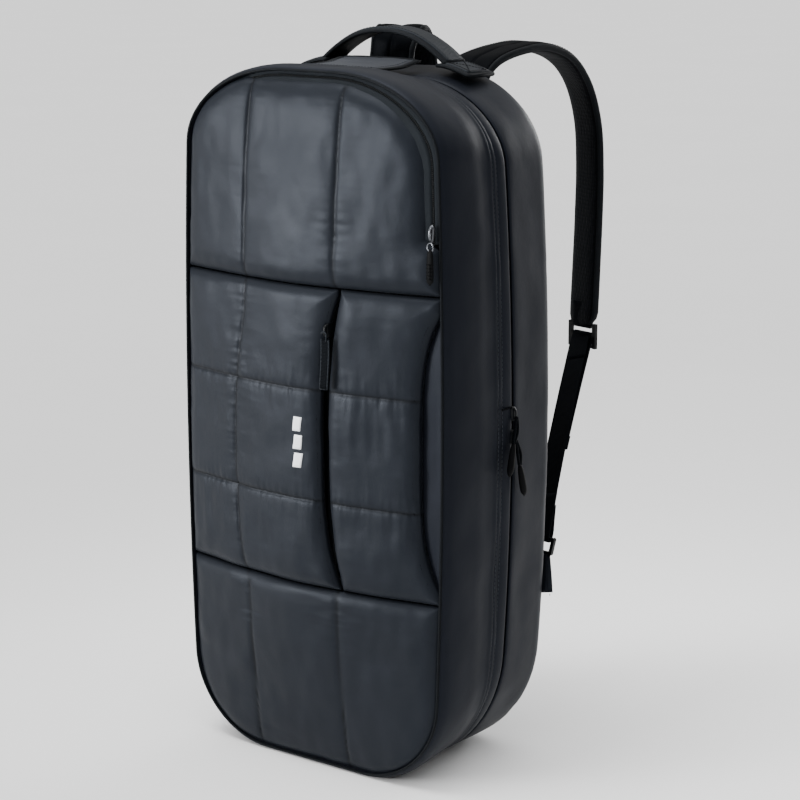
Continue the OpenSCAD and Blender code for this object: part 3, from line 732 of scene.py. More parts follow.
def main_zip():
    """Tapes with a coil along each edge, down in the gap beside the zip cover."""
    for name, side, body, node in (("front_zip", -1, "front_half", "front_zip_tape"),
                                   ("rear_zip", 1, "root", "rear_zip_tape")):
        parts = Parts()
        edge = 0.8 * side + 0.7
        tape = np.array([round_line(edge + side * k, 4.0, ZIP_FIRST, ZIP_LAST) for k in (0.3, 5, 9, 12.5)])
        inner = np.array([round_line(edge + side * k, 5.0, ZIP_FIRST, ZIP_LAST) for k in (0.3, 5, 9, 12.5)])
        parts.add(*closed_sheet(tape, inner))
        line = spaced(round_line(edge, 3.3, ZIP_FIRST, ZIP_LAST), 2.2)
        direction = unit(np.gradient(line, axis=0))
        for c, d in zip(line, direction):
            out = np.cross(d, [0, 1, 0])
            tooth = np.array([[c + d * 0.75 * a + out * 0.9 * b + np.array([0, side * e, 0])
                               for a, b in ((-1, -1), (1, -1), (1, 1), (-1, 1))] for e in (-0.6, 1.9)])
            parts.add(*tube(tooth))
        dress(parts.make(name, COIL, body, smooth=False), "zip_tape", node)


def side_tack():
    """The bar tack that crosses the zip cover above the parked sliders."""
    z = 393
    x = float(half_at(ZIP_RING, z)) + 1.6
    parts = Parts()
    for k in range(7):
        parts.cord([[x, -19 + 2.4 * k, z], [x, -17.2 + 2.4 * k, z]], 0.9, 6)
    parts.make("zip_bar_tack", THREAD, "front_half")


front_shell()
rear_shell()
seam_piping()
shell_stitching()
main_zip()
side_tack()


# ---- Quilted front panels ----


def edge_distance(x, z, border):
    """Distance of each point to a closed border line."""
    points = np.stack([x.ravel(), z.ravel()], 1)[:, None]
    a = border[None]
    b = np.roll(border, -1, 0)[None]
    ab = b - a
    t = np.clip(np.sum((points - a) * ab, 2) / np.maximum(np.sum(ab * ab, 2), 1e-9), 0, 1)
    return np.sqrt(np.min(np.sum((points - a - t[..., None] * ab) ** 2, 2), 1)).reshape(x.shape)


def pucker(distance, place, seed, depth):
    """Small gathers that stand across a seam and fade away from it."""
    strength = 0.7 + 0.7 * noise_at(place / 55, seed, 0.5)
    ridge = noise_at(place / 4.6, distance / 30, seed) + 0.6 * noise_at(place / 8.5, distance / 40, seed + 9)
    return depth * strength * ridge * np.exp(-distance / 12) * (1 - np.exp(-distance / 1.6))


def drawn_in(distance, dip):
    """The share of its height that cloth keeps beside a seam: a wide dip with a narrow groove in it."""
    return 1 - dip * np.exp(-distance / 9) - 0.26 * np.exp(-distance / 1.8)


def quilt_height(x, z, uprights, levels, edge, puff, edge_roll):
    """How far the fabric stands out: full between seams, drawn in at seams and at the panel's edge."""
    height = puff * (1 - np.exp(-edge / edge_roll))
    for k, seam in enumerate(uprights):
        distance = np.abs(x - seam(z))
        height *= drawn_in(distance, 0.12)
        height += pucker(distance, z, 11 + 5 * k, 1.2)
    for k, level in enumerate(levels):
        distance = np.abs(z - level)
        height *= drawn_in(distance, 0.14)
        height += pucker(distance, x, 31 + 5 * k, 1.3)
        below = np.clip(level - z, 0, 70)
        height += 0.8 * noise_at(x / 11, z / 90, 71 + k) * np.sin(below / 70 * math.pi)
    height += 1.4 * noise_at(x / 46, z / 34, 5.5) + 0.6 * noise_at(x / 15, z / 24, 8.5)
    height += 0.5 * noise_at(x / 24, z / 8, 15.5) * np.exp(-edge / 20) * (1 - np.exp(-edge / 3))
    return height


# How wide the painted shade beside each seam is, in millimetres
CREASE_SHADE_WIDTH = 1.6


def seam_shade(x, z, uprights, levels):
    """How much painted shade the cloth gets in its creases, from 0 to 1."""
    distance = np.full(x.shape, 99.0)
    for seam in uprights:
        distance = np.minimum(distance, np.abs(x - seam(z)))
    for level in levels:
        distance = np.minimum(distance, np.abs(z - level))
    return 0.97 * np.exp(-((distance / CREASE_SHADE_WIDTH) ** 2))


def panel_grid(zs, left, right, cols):
    """Grid x and z between two edges, with closer columns beside them."""
    s = np.linspace(-1, 1, cols)
    s = s * (1.28 - 0.28 * s * s)
    zs = np.asarray(zs, float)
    x = (left + right)[:, None] / 2 + (right - left)[:, None] / 2 * s
    return x, np.broadcast_to(zs[:, None], x.shape)


def border_of(x, z):
    edge = [np.stack([x[0], z[0]], 1), np.stack([x[1:, -1], z[1:, -1]], 1),
            np.stack([x[-1, -2::-1], z[-1, -2::-1]], 1), np.stack([x[-2:0:-1, 0], z[-2:0:-1, 0]], 1)]
    return np.concatenate(edge)


# How far a panel's edge lies behind the crowned face, how far inside the seam, and the step of a sewn line
LEVEL_DIP = 2.6
PANEL_INSET = 4.5
STITCH_STEP = 4.0


def quilted(name, x, z, uprights, levels, puff, edge_roll=5.5, body="front_half", thick=5.0):
    """A padded panel over a grid on the crowned front."""
    edge = edge_distance(x, z, border_of(x, z))
    height = quilt_height(x, z, uprights, levels, edge, puff, edge_roll)
    front = np.stack([x, crown_y(x, z) + LEVEL_DIP - height, z], 2)
    back = np.stack([x, crown_y(x, z) + LEVEL_DIP + thick, z], 2)
    # Painted shade along the seams, one value per point of the front face
    shade = np.concatenate([seam_shade(x, z, uprights, levels).ravel(), np.zeros(x.size)])
    return make(name, *closed_sheet(front, back), SHELL, body, crease_shade=shade)


def surface_line(piece, xz, lift):
    """Points on a panel's front at given [x, z], lifted off it."""
    where = np.array([v.co for v in piece.data.vertices]) * MM - [0, zip_y, 0]
    where = where[: len(where) // 2]
    out = []
    for x, z in xz:
        near = where[np.argsort((where[:, 0] - x) ** 2 + (where[:, 2] - z) ** 2)[:4]]
        weight = 1 / ((near[:, 0] - x) ** 2 + (near[:, 2] - z) ** 2 + 0.3)
        out.append([x, float(np.sum(near[:, 1] * weight) / np.sum(weight)) - lift, z])
    return np.array(out)


def upper_panel():
    """The upper panel: the lid above its fold and the sewn foot below, in one cloth.

    The lid's left edge rolls over the zip band; its right and upper edges leave the band in view.
    """
    lap = -4.5
    top = LID_RING[2] - LID_RING[4] - lap
    straight = np.arange(ROW_1 + 1, top, 1.9)
    turned = top + LID_RING[4] * np.sin(np.radians(np.arange(0, 88, 1.7)))
    zs = np.concatenate([straight, turned])[::-1]
    share = np.clip((zs - FOLD_Z + 4) / 14, 0, 1)
    share = share * share * (3 - 2 * share)
    right = mix(half_at(SEAM_RING, zs, PANEL_INSET), half_at(LID_RING, zs, lap), share)
    left = -half_at(SEAM_RING, zs, PANEL_INSET + 2 * share)
    x, z = panel_grid(zs, left, right, 171)
    piece = quilted("upper_panel_cloth", x, z, [seam_a, seam_b], [], puff=9.0, edge_roll=7.0, body=None)
    dress(piece, "shell_nylon", "pocket_lid", "upper_panel", fill=0.7)
    return piece


SLIT_MIDDLE = 355.5
SLIT_HALF = 153
STASH_HALF = 144


def bowed(z, half, power):
    """A bow round the slit's middle height: 1 there, and 0 from half a length away."""
    return 1 - np.clip(np.abs(z - SLIT_MIDDLE) / half, 0, 1) ** power


def slit_left(z):
    return 52 - 21 * bowed(z, SLIT_HALF, 3.2)


def slit_right(z):
    return 55.5 - 15 * bowed(z, SLIT_HALF, 2.5)


def stash_edge(z):
    return half_at(SEAM_RING, z) - 4 - 25 * bowed(z, STASH_HALF, 4)


def middle_panels():
    """The left panel with the slit's stitched flap edge, and the right panel with the open pocket's edge."""
    zs = np.arange(ROW_4 + 1, ROW_1 - 0.5, 1.7)[::-1]
    x, z = panel_grid(zs, -half_at(SEAM_RING, zs, PANEL_INSET), slit_left(zs), 121)
    left = quilted("middle_left_cloth", x, z, [seam_a], [ROW_2, ROW_3], puff=7.5)
    x, z = panel_grid(zs, slit_right(zs), stash_edge(zs), 71)
    right = quilted("middle_right_cloth", x, z, [], [ROW_2, ROW_3], puff=7.0)
    for piece, node in ((left, "middle_panel_left"), (right, "middle_panel_right")):
        dress(piece, "shell_nylon", node, fill=0.6)
    return left, right


def lower_panel():
    """The plain lower panel, with its two upright seams."""
    foot = SEAM_RING[6]
    straight = np.arange(foot, ROW_4 - 0.5, 2.2)[::-1]
    turned = foot - (foot - 4.5) * np.sin(np.radians(np.arange(2.5, 91, 2.5)))
    zs = np.concatenate([straight, turned])
    half = half_at(SEAM_RING, zs, PANEL_INSET)
    x, z = panel_grid(zs, -half, half, 111)
    piece = quilted("lower_cloth", x, z, [seam_a, seam_b], [], puff=6.0)
    dress(piece, "shell_nylon", "lower_panel", fill=0.5)
    return piece


def seam_stitches(name, piece, lines, body="front_half"):
    """Rows of stitches sunk a little in a panel, each line a list of [x, z]."""
    threads = Parts()
    for line in lines:
        threads.sew(surface_line(piece, line, -0.3), [0, -1, 0], QUILT_STITCH)
    threads.make(name, THREAD, body)


def upright_line(seam, low, high):
    return [[float(seam(z)), float(z)] for z in np.arange(low, high, STITCH_STEP)]


def level_line(level, left, right):
    return [[float(x), float(level)] for x in np.arange(left, right, STITCH_STEP)]


def quilt_stitching(upper, left, right, lower):
    """The stitches in every quilting seam, along the slit's flap and by the open pocket's edge."""
    seams = (seam_a, seam_b)
    seam_stitches("foot_stitches", upper, [upright_line(seam, ROW_1 + 4, FOLD_Z - 6) for seam in seams])
    seam_stitches("lid_stitches", upper, [upright_line(seam, FOLD_Z + 4, 706) for seam in seams], "lid")
    flap_zs = np.arange(ROW_4 + 8, ROW_1 - 8, STITCH_STEP)
    flap = [[[float(slit_left(z)) - gap, float(z)] for z in flap_zs] for gap in (3.0, 8.0)]
    seam_stitches("middle_stitches", left,
                  [upright_line(seam_a, ROW_4 + 4, ROW_1 - 4), level_line(ROW_2 + 1.2, -156, 24),
                   level_line(ROW_2 - 2.6, -80, 24), level_line(ROW_3, -156, 24)] + flap)
    edge = [[float(stash_edge(z)) - 5, float(z)] for z in np.arange(225, 490, STITCH_STEP)]
    seam_stitches("middle_right_stitches", right,
                  [level_line(ROW_2, 48, 140), level_line(ROW_3, 48, 140), edge])
    seam_stitches("lower_stitches", lower, [upright_line(seam, 14, ROW_4 - 3) for seam in seams])


# The mark's lowest bar, the step between bars, and each bar's height, width and lean
MARK_LOW = 328
MARK_STEP = 19
MARK_TALL = 15
MARK_WIDE = 10
MARK_LEAN = 0.15


def plain_mark(left):
    """A plain mark of three slanted bars, printed on the cloth."""
    parts = Parts()
    for k in range(3):
        foot = MARK_LOW + MARK_STEP * k
        zs = np.linspace(foot, foot + MARK_TALL, 7)
        cols = np.linspace(0, 1, 5)
        xz = np.array([[[1 + MARK_LEAN * (z - foot) + MARK_WIDE * c, z] for c in cols] for z in zs])
        front = np.array([surface_line(left, row, 0.45) for row in xz])
        parts.add(*closed_sheet(front, front + [0, 0.3, 0]))
    dress(parts.make("plain_mark", PRINT, "front_half"), "mark_print", "front_mark")


def stash_inner():
    """The pocket's inner face, which shows between the pocket's edge and the front seam."""
    zs = np.arange(212, 500, 4.0)[::-1]
    x, z = panel_grid(zs, stash_edge(zs) - 16, half_at(SEAM_RING, zs, 5), 25)
    share = np.linspace(0, 1, 25)[None]
    depth = 3.5 + 9.0 * (1 - share) + 0.7 * noise_at(x / 9, z / 45, 4.4)
    front = np.stack([x, crown_y(x, z) + depth, z], 2)
    piece = make("stash_inner_cloth", *closed_sheet(front, front + [0, 1.5, 0]), SHADED_SHELL, "front_half")
    dress(piece, "lining", fill=0.3)


upper = upper_panel()
stash_inner()
left_panel, right_panel = middle_panels()
lower = lower_panel()
quilt_stitching(upper, left_panel, right_panel, lower)
plain_mark(left_panel)
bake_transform(upper)


# ---- Zip band round the lid ----


def over_line(ring, inset, low):
    """[x, z] points up the right side of a ring, over its top and down the left, above a height."""
    points = outline(ring, inset)
    return points[points[:, 1] > low]


def band_line(share, low=FOLD_Z + 3, lift=0.0):
    """A line in the band between the seam and the lid's edge, at a share of its width.

    On the left it sinks under the lid's rolled edge.
    """
    seam = over_line(SEAM_RING, 4.0, low)
    zs = seam[:, 1]
    scale = (LID_RING[2] - ROW_1) / (bag_h - 4 - ROW_1)
    edge_z = ROW_1 + (zs - ROW_1) * scale
    edge_x = half_at(LID_RING, np.minimum(edge_z, LID_RING[2] - 0.01))
    edge = np.stack([np.sign(seam[:, 0]) * edge_x, edge_z], 1)
    top = np.abs(seam[:, 0]) < 33
    edge[top, 0] = seam[top, 0] * 0.82
    p = mix(seam, edge, share)
    tuck = 7 * np.clip((-p[:, 0] - 70) / 30, 0, 1)
    return np.stack([p[:, 0], crown_y(p[:, 0], p[:, 1]) + 1.4 - lift + tuck, p[:, 1]], 1)


def zip_band():
    """The tape sewn to the seam, its coil, and the lid's own tape."""
    front = np.array([band_line(s, lift=0.6 * math.sin(3.1 * s)) for s in (-0.05, 0.1, 0.2, 0.3)])
    piece = make("pocket_zip_tape", *closed_sheet(front, front + [0, 1.5, 0]), TAPE, "front_half")
    dress(piece, "zip_tape", "pocket_zip_band")
    coil = Parts()
    line = spaced(band_line(0.36, lift=0.3), 2.0)
    direction = unit(np.gradient(line, axis=0))
    for c, d in zip(line, direction):
        across = unit(np.cross(d, [0, 1, 0]))
        tooth = np.array([[c + d * 0.62 * a + across * 1.5 * b + [0, 0.35 * e, 0]
                           for a, b in ((-1, -0.8), (1, -1), (1, 0.8), (-1, 1))] for e in (-1, 1)])
        coil.add(*tube(tooth))
    coil.make("pocket_zip_coil", COIL, "front_half")
    front = np.array([band_line(s, lift=0.4) for s in (0.42, 0.6, 0.8, 1.0)])
    piece = make("lid_tape", *closed_sheet(front, front + [0, 1.3, 0]), TAPE, "lid")
    dress(piece, "zip_tape", "lid_zip_tape")


zip_band()


# ---- Copies of plain fabric nodes, softened ----


MOST_FACES = 14000


def soft_copy(node, material, slot, body, ripple=0.8, facet=14.0):
    """A fabric or foam node as a finer mesh that ripples a little; it keeps its thickness."""
    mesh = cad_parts[node].data.copy()
    mesh.materials.clear()
    mesh.materials.append(material)
    work = bmesh.new()
    work.from_mesh(mesh)
    bmesh.ops.remove_doubles(work, verts=work.verts, dist=1e-6)
    for _ in range(4):
        long_edges = [e for e in work.edges if e.calc_length() * MM > facet]
        if not long_edges or len(work.faces) > MOST_FACES:
            break
        bmesh.ops.subdivide_edges(work, edges=long_edges, cuts=1, use_grid_fill=True)
    bmesh.ops.triangulate(work, faces=work.faces)
    for v in work.verts:
        p = v.co * MM
        v.co += noise.noise_vector(p / 45) * ripple / MM + noise.noise_vector(p / 16) * 0.25 * ripple / MM
    work.to_mesh(mesh)
    work.free()
    piece = bpy.data.objects.new("soft_" + node, mesh)
    bpy.context.scene.collection.objects.link(piece)
    for polygon in mesh.polygons:
        polygon.use_smooth = False
    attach(piece, body)
    return dress(piece, slot, node)


def inside_pieces():
    for node, body in (("back_lining", "root"), ("front_lining", "front_half"), ("racket_sleeve", "root"),
                       ("pocket_bag", "front_half"), ("slit_pocket_bag", "front_half"),
                       ("stash_pocket_bag", "front_half"), ("left_side_hinge", "root")):
        soft_copy(node, LINING, "lining", body, 0.3)
    soft_copy("back_foam", FOAM, "foam", "root", 0.2)
    soft_copy("stash_binding", BINDING, "zip_tape", "front_half", 0.3)


def finish_hard(node, material, edge=0.7):
    """A hard CAD piece with softened edges and its real material."""
    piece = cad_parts[node]
    piece.data.materials.clear()
    piece.data.materials.append(material)
    bevel = piece.modifiers.new("soft_edges", "BEVEL")
    bevel.width = edge / MM
    bevel.segments = 3
    bevel.limit_method = "ANGLE"
    bevel.angle_limit = math.radians(40)


# ---- Back: panel, pads and yoke ----


def rear_cloth(name, node, zs, half, y, puff, edge_roll, material, slot, seams=(), x_mid=0.0):
    """A padded panel on the bag's back, between -half and half about x_mid."""
    x, z = panel_grid(zs, -half, half, 61)
    x = x + x_mid
    height = puff * (1 - np.exp(-edge_distance(x, z, border_of(x, z)) / edge_roll))
    for level in seams:
        height *= 1 - 0.6 * np.exp(-np.abs(z - level) / 5)
    height += 0.4 * noise_at(x / 40, z / 40, 2.2)
    outer = np.stack([x, y + height, z], 2)
    inner = np.stack([x, np.full_like(x, y - 1.5), z], 2)
    piece = make(name, *closed_sheet(outer, inner), material, "root")
    dress(piece, slot, node, fill=0.7)


def rounded_rows(low, high, half, radius):
    """Rows and half widths of an upright rounded rectangle."""
    turn = np.radians(np.arange(4, 91, 7.0))
    foot = low + radius * (1 - np.sin(turn[::-1]))
    head = high - radius * (1 - np.sin(turn))
    zs = np.concatenate([foot, np.arange(low + radius + 4, high - radius - 1, 5.0), head])
    over = np.clip((zs - high + radius) / radius, 0, 1)
    under = np.clip((low + radius - zs) / radius, 0, 1)
    return zs, half - radius + radius * np.sqrt(1 - np.maximum(over, under) ** 2)


def back_pieces():
    inset = 20.0
    low, high = inset, REAR_RING[2] - inset
    turn = np.radians(np.arange(3, 91, 4.0))
    foot = low + (REAR_RING[6] - inset) * (1 - np.sin(turn[::-1]))
    head = high - (REAR_RING[4] - inset) * (1 - np.sin(turn))
    zs = np.concatenate([foot, np.arange(foot[-1] + 6, head[0] - 3, 7.0), head])
    rear_cloth("back_cloth", "back_panel", zs, half_at(REAR_RING, zs, inset), back_y - 1.2, 2.4, 6,
               SHADED_SHELL, "shell_nylon")
    for node in ("back_pad_left", "back_pad_right"):
        node_low, node_high = node_box(node)
        middle, half = (node_low[0] + node_high[0]) / 2, (node_high[0] - node_low[0]) / 2
        zs, halves = rounded_rows(node_low[2], node_high[2], half, 26)
        rear_cloth(node + "_cloth", node, zs, halves, back_y + 1.5, 9.0, 5, MESH, "air_mesh",
                   [380, 505], middle)
    for node, radius in (("lumbar_pad", 30), ("shoulder_yoke", 14)):
        node_low, node_high = node_box(node)
        zs, halves = rounded_rows(node_low[2], node_high[2], node_high[0], radius)
        material, slot = (MESH, "air_mesh") if node == "lumbar_pad" else (STRAP, "strap_nylon")
        rear_cloth(node + "_cloth", node, zs, halves, back_y + 1.5, 8.5, 5, material, slot)


# ---- Shoulder straps ----

STRAP_WIDTH = 56
STRAP_THICK = 11
STRAP_TAPER = 16
ROUTE_STEPS = 10
RIGHT_ROUTE = [[46, 97, 668], [47, 98, 690], [49, 104, 711], [53, 122, 727], [58, 160, 736], [62, 205, 738],
               [66, 250, 725], [70, 283, 696], [74, 299, 652], [78, 299, 600], [82, 292, 545], [86, 283, 490],
               [92, 270, 427]]
LEFT_ROUTE = [[-46, 97, 668], [-46, 97, 700], [-45, 98, 728], [-44, 101, 746], [-44, 113, 757],
              [-46, 126, 746], [-51, 143, 704], [-59, 170, 634], [-67, 194, 562], [-74, 205, 498],
              [-79, 205.5, 427]]


def across_strap(side, count):
    """The strap's width direction along its route: it turns outwards as it comes down."""
    u = np.linspace(0, 1, count)
    angle = -side * np.radians(30) * np.clip((u - 0.25) / 0.3, 0, 1)
    return np.stack([np.cos(angle), np.sin(angle), 0 * angle], 1)


def strap_section(width, thick):
    """A padded strap's section: two lobes above with a sewn middle, nearly flat below."""
    s = np.linspace(-1, 1, 33)
    lobe = (1 - np.abs(s) ** 5 * 0.55) * (1 - 0.5 * np.exp(-np.abs(s) / 0.09))
    lobe = lobe * (1 - 0.35 * np.exp(-(1 - np.abs(s)) / 0.07))
    top = np.stack([s * width / 2, thick * 0.52 * lobe], 1)
    under = np.stack([s[::-1] * width / 2, np.full(33, -thick * 0.34)], 1)
    return np.concatenate([top, under[1:-1]])


def strap_cloth(name, side, line, across, taper):
    """The padded cloth, lightly wrinkled on its outer face."""
    section = repeated(strap_section(STRAP_WIDTH, STRAP_THICK), len(line))
    section[..., 0] *= (0.45 + 0.55 * taper)[:, None]
    section[..., 1] *= (0.5 + 0.5 * taper)[:, None]
    wrinkle = 0.9 * noise_at(distances(line)[:, None] / 22, section[..., 0] / 30, 3.7 + side)
    section[..., 1] += np.where(section[..., 1] > 0, wrinkle, 0)
    piece = make("strap_%s_cloth" % name, *tube(along(line, across, section)), STRAP, "root")
    dress(piece, "strap_nylon", "strap_" + name, fill=0.8)


def strap_lining(name, line, across, narrow):
    """The knitted lining on the wearer's side."""
    s = np.linspace(-1, 1, 17)
    half = STRAP_WIDTH / 2 - 3
    lower = np.stack([s * half, -STRAP_THICK * 0.34 - 2.6 * (1 - np.abs(s) ** 4)], 1)
    upper_edge = np.stack([s[::-1] * half, np.full(17, -STRAP_THICK * 0.30)], 1)
    section = np.concatenate([lower, upper_edge]) * narrow[:, None, None]
    piece = make("strap_%s_lining" % name, *tube(along(line, across, section)), MESH, "root")
    dress(piece, "air_mesh", "strap_mesh_" + name)


def strap_binding(name, line, across, narrow):
    """The binding round both edges."""
    oval = round_section(1.0, 10) * [3.0, STRAP_THICK * 0.36] + [0, 0.3]
    binding = Parts()
    for edge in (-1, 1):
        moved = repeated(oval, len(line))
        moved[..., 0] += edge * (STRAP_WIDTH / 2 - 2.0) * narrow[:, None]
        moved[..., 1] *= narrow[:, None]
        binding.add(*tube(along(line, across, moved)))
    binding.make("strap_%s_binding" % name, BINDING, "root")


def strap_threads(name, line, across):
    """The stitches in both bindings and beside the middle seam."""
    w, up = sweep_axes(line, across)
    threads = Parts()
    for offset, lift in ((-24.0, 0.45), (-1.6, 0.32), (1.6, 0.32), (24.0, 0.45)):
        threads.sew((line + w * offset + up * STRAP_THICK * lift)[6:-6], up[6:-6], STRAP_STITCH)
    threads.make("strap_%s_stitches" % name, THREAD, "root")


def strap(side, route, lined_from, name):
    """A shoulder strap that narrows at its lower end, lined from one of its route's points down."""
    line = smooth_curve(route, ROUTE_STEPS)
    across = across_strap(side, len(line))
    lengths = distances(line)
    taper = np.sqrt(1 - (1 - np.clip((lengths[-1] - lengths) / STRAP_TAPER, 0.02, 1)) ** 2)
    narrow = 0.45 + 0.55 * taper
    first = lined_from * ROUTE_STEPS
    strap_cloth(name, side, line, across, taper)
    strap_lining(name, line[first:], across[first:], narrow[first:])
    strap_binding(name, line, across, narrow)
    strap_threads(name, line, across)


# ---- Webbing and its hardware ----

# Pivots of the ladder locks and rings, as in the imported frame, and how far each is turned, in degrees
LOCK_PIVOTS = {"right": (91, 271, 428), "left": (-79, 205, 428)}
RING_PIVOTS = {"right": (151, 104, 212), "left": (-151, 104, 212)}
LOCK_TURN = 12
RING_TURN = 5

# The webbing and its loops, the sag, and the heights of the bars about their pivots
WEB_WIDTH = 25
WEB_THICK = 1.6
LOOP_R = 3.2
LOCK_BAR = -12
RING_BAR = 16
WEB_SAG = 3


class Mounted:
    """A place on a strap: a pivot with its own axes, turned about Z towards the bag's side."""

    def __init__(self, pivot, side, turn):
        angle = -side * math.radians(turn)
        self.pivot = np.array(pivot, float)
        self.x = np.array([math.cos(angle), math.sin(angle), 0])
        self.y = np.array([-math.sin(angle), math.cos(angle), 0])
        self.side = side

    def at(self, x, y, z):
        return self.pivot + self.x * x + self.y * y + [0, 0, z]


def web_band(line, across, width=WEB_WIDTH, thick=WEB_THICK):
    return tube(along(line, across, band_section(width, thick)))


def looped(place, z, way, long_leg, short_leg):
    """The middle line of webbing that turns round a bar at height z; way is 1 for legs up."""
    arc = [[0, -LOOP_R * math.cos(a), z - way * LOOP_R * math.sin(a)] for a in HALF_TURN]
    line = [[0, -LOOP_R, z + way * k] for k in np.linspace(long_leg, 3, 5)] + arc
    line += [[0, LOOP_R, z + way * k] for k in np.linspace(3, short_leg, 5)]
    return np.array([place.at(*p) for p in line])


def adjuster(side, name):
    """A strap's webbing from its ladder lock to its lower ring, with the hardware at both ends."""
    lock = Mounted(LOCK_PIVOTS[name], side, LOCK_TURN)
    ring = Mounted(RING_PIVOTS[name], side, RING_TURN)
    finish_hard("ladder_lock_" + name, PLASTIC)
    finish_hard("web_ring_" + name, PLASTIC)
    piece = make("lock_web_" + name, *web_band(looped(lock, 0, 1, 26, 26), lock.x), WEBBING, "root")
    dress(piece, "webbing", "lock_loop_" + name)
    t = np.linspace(0, 1, 49)[:, None]
    sag = np.array([0, -WEB_SAG, 0]) * 4 * t * (1 - t)
    front = mix(lock.at(0, -LOOP_R, LOCK_BAR), ring.at(0, -LOOP_R, RING_BAR), t) + sag
    across = mix(lock.x, ring.x, t)
    piece = make("long_web_" + name, *web_band(front[3:42], across[3:42]), WEBBING, "root")
    dress(piece, "webbing", "adjust_web_" + name)
    loose_web(name, lock, front)
    ring_web(name, ring, front, across)
    anchor(side, name, ring)


def loose_web(name, lock, front):
    """The webbing over the lock's lower bar and its loose tail behind, folded at the end."""
    over_bar = [lock.at(0, -LOOP_R * math.cos(a), LOCK_BAR + LOOP_R * math.sin(a)) for a in HALF_TURN]
    gap = np.linspace(2 * LOOP_R, 2.3, 28)[:, None] * lock.y
    tail = front[1:29] + gap
    parts = Parts()
    line = np.concatenate([front[6:0:-1], over_bar, tail])
    parts.add(*web_band(line, lock.x, WEB_WIDTH + 0.4, WEB_THICK + 0.2))
    parts.add(*web_band(tail[-4:] + lock.y * 1.6, lock.x))
    piece = parts.make("loose_web_" + name, WEBBING, None)
    dress(piece, "webbing", "web_tail_" + name)
    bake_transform(piece)


def ring_web(name, ring, front, across):
    """The webbing's folded end round the ring's upper bar, sewn to itself."""
    under_bar = [ring.at(0, -LOOP_R * math.cos(a), RING_BAR - LOOP_R * math.sin(a)) for a in HALF_TURN]
    back = front[-2:-9:-1] + np.linspace(2 * LOOP_R, 2.2, 7)[:, None] * ring.y
    line = np.concatenate([front[38:-1], under_bar, back])
    turned = np.concatenate([across[38:-1], np.broadcast_to(ring.x, (len(under_bar) + len(back), 3))])
    piece = make("ring_web_" + name, *web_band(line, turned, WEB_WIDTH + 0.4, WEB_THICK + 0.4), WEBBING, None)
    dress(piece, "webbing", "ring_loop_" + name)
    threads = Parts()
    for point in back[3:6] + ring.y * 1.3:
        threads.sew([point - ring.x * 10, point + ring.x * 10], ring.y, BAR_STITCH)
    sewn = threads.make("ring_web_stitches_" + name, PALE_THREAD, None)
    for part in (piece, sewn):
        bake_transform(part)


TAB_NARROW = 24
TAB_WIDE = 42


def anchor(side, name, ring):
    """The stitched tab between the ring's lower bar and the rear edge seam."""
    start = ring.at(0, 0, -3)
    seam = np.array([side * 158.0, back_y + 1.8, 172])
    line = smooth_curve([start, (start + seam) / 2 + [0, 0.6, -1], seam], 6)
    share = np.linspace(0, 1, len(line))
    section = repeated(band_section(1.0, 2.2), len(line))
    width = mix(TAB_NARROW, TAB_WIDE, share)[:, None]
    section[..., 0] *= width
    piece = make("anchor_cloth_" + name, *tube(along(line, ring.x, section)), SHADED_SHELL, "root")
    dress(piece, "shell_nylon", "anchor_tab_" + name)
    threads = Parts()
    for edge in (-1, 1):
        threads.sew(line + ring.x * edge * (width / 2 - 3) + ring.y * 0.9 + [0, 0, 0.9], ring.y, TAB_STITCH)
    threads.make("anchor_stitches_" + name, PALE_THREAD, "root")


# ---- Top: storm flap and carrying handle ----

HANDLE_Y = 42
HANDLE_HALF = 80
TOP_WIDTH = 28
UNDER_WIDTH = 37
END_WIDTH = 46
END_LOW = 72
END_HIGH = 113


def handle_arch(s):
    return bag_h + 0.5 + 31.5 * (1 - np.abs(s) ** 2.2)


def handle():
    """A padded loop: grey cloth above, a dark edge and underside."""
    s = np.linspace(-1, 1, 61)
    line = np.stack([HANDLE_HALF * s, np.full_like(s, HANDLE_Y), handle_arch(s)], 1)
    piece = make("handle_top", *web_band(line + [0, 0, 1.2], [0, 1, 0], TOP_WIDTH, 3.6), HANDLE, "handle")
    dress(piece, "webbing", "handle_loop")
    under = web_band(line - [0, 0, 1.2], [0, 1, 0], UNDER_WIDTH, 4.6)
    make("handle_under", *under, BINDING, "handle")
    threads = Parts()
    for side in (-1, 1):
        threads.sew(line + [0, side * (TOP_WIDTH / 2 - 2), 3.1], [0, 0, 1], HANDLE_STITCH)
    threads.make("handle_stitches", THREAD, "handle")


def handle_ends():
    """The sewn-down ends of the handle, each with a box and cross of stitches."""
    cloth, edging, threads = Parts(), Parts(), Parts()
    for side in (-1, 1):
        xs = np.linspace(END_LOW, END_HIGH, 11)
        line = np.stack([side * xs, np.full_like(xs, HANDLE_Y), handle_patch_z(xs)], 1)
        cloth.add(*web_band(line[1:-1] + [0, 0, 1.8], [0, 1, 0], END_WIDTH - 10, 3.0))
        edging.add(*web_band(line, [0, 1, 0], END_WIDTH, 4.0))
        corners = [(80, -14), (108, -14), (108, 14), (80, 14), (80, -14), (108, 14), (108, -14), (80, 14)]
        for (xa, ya), (xb, yb) in zip(corners[:-1], corners[1:]):
            ends = [[side * x, HANDLE_Y + y, handle_patch_z(x) + 3.5]
                    for x, y in zip(np.linspace(xa, xb, 5), np.linspace(ya, yb, 5))]
            threads.sew(ends, [side * 0.25, 0, 1], BOX_STITCH)
    dress(cloth.make("handle_end_cloth", HANDLE, "root"), "webbing", "handle_patches")
    edging.make("handle_end_edging", BINDING, "root")
    threads.make("handle_end_stitches", THREAD, "root")


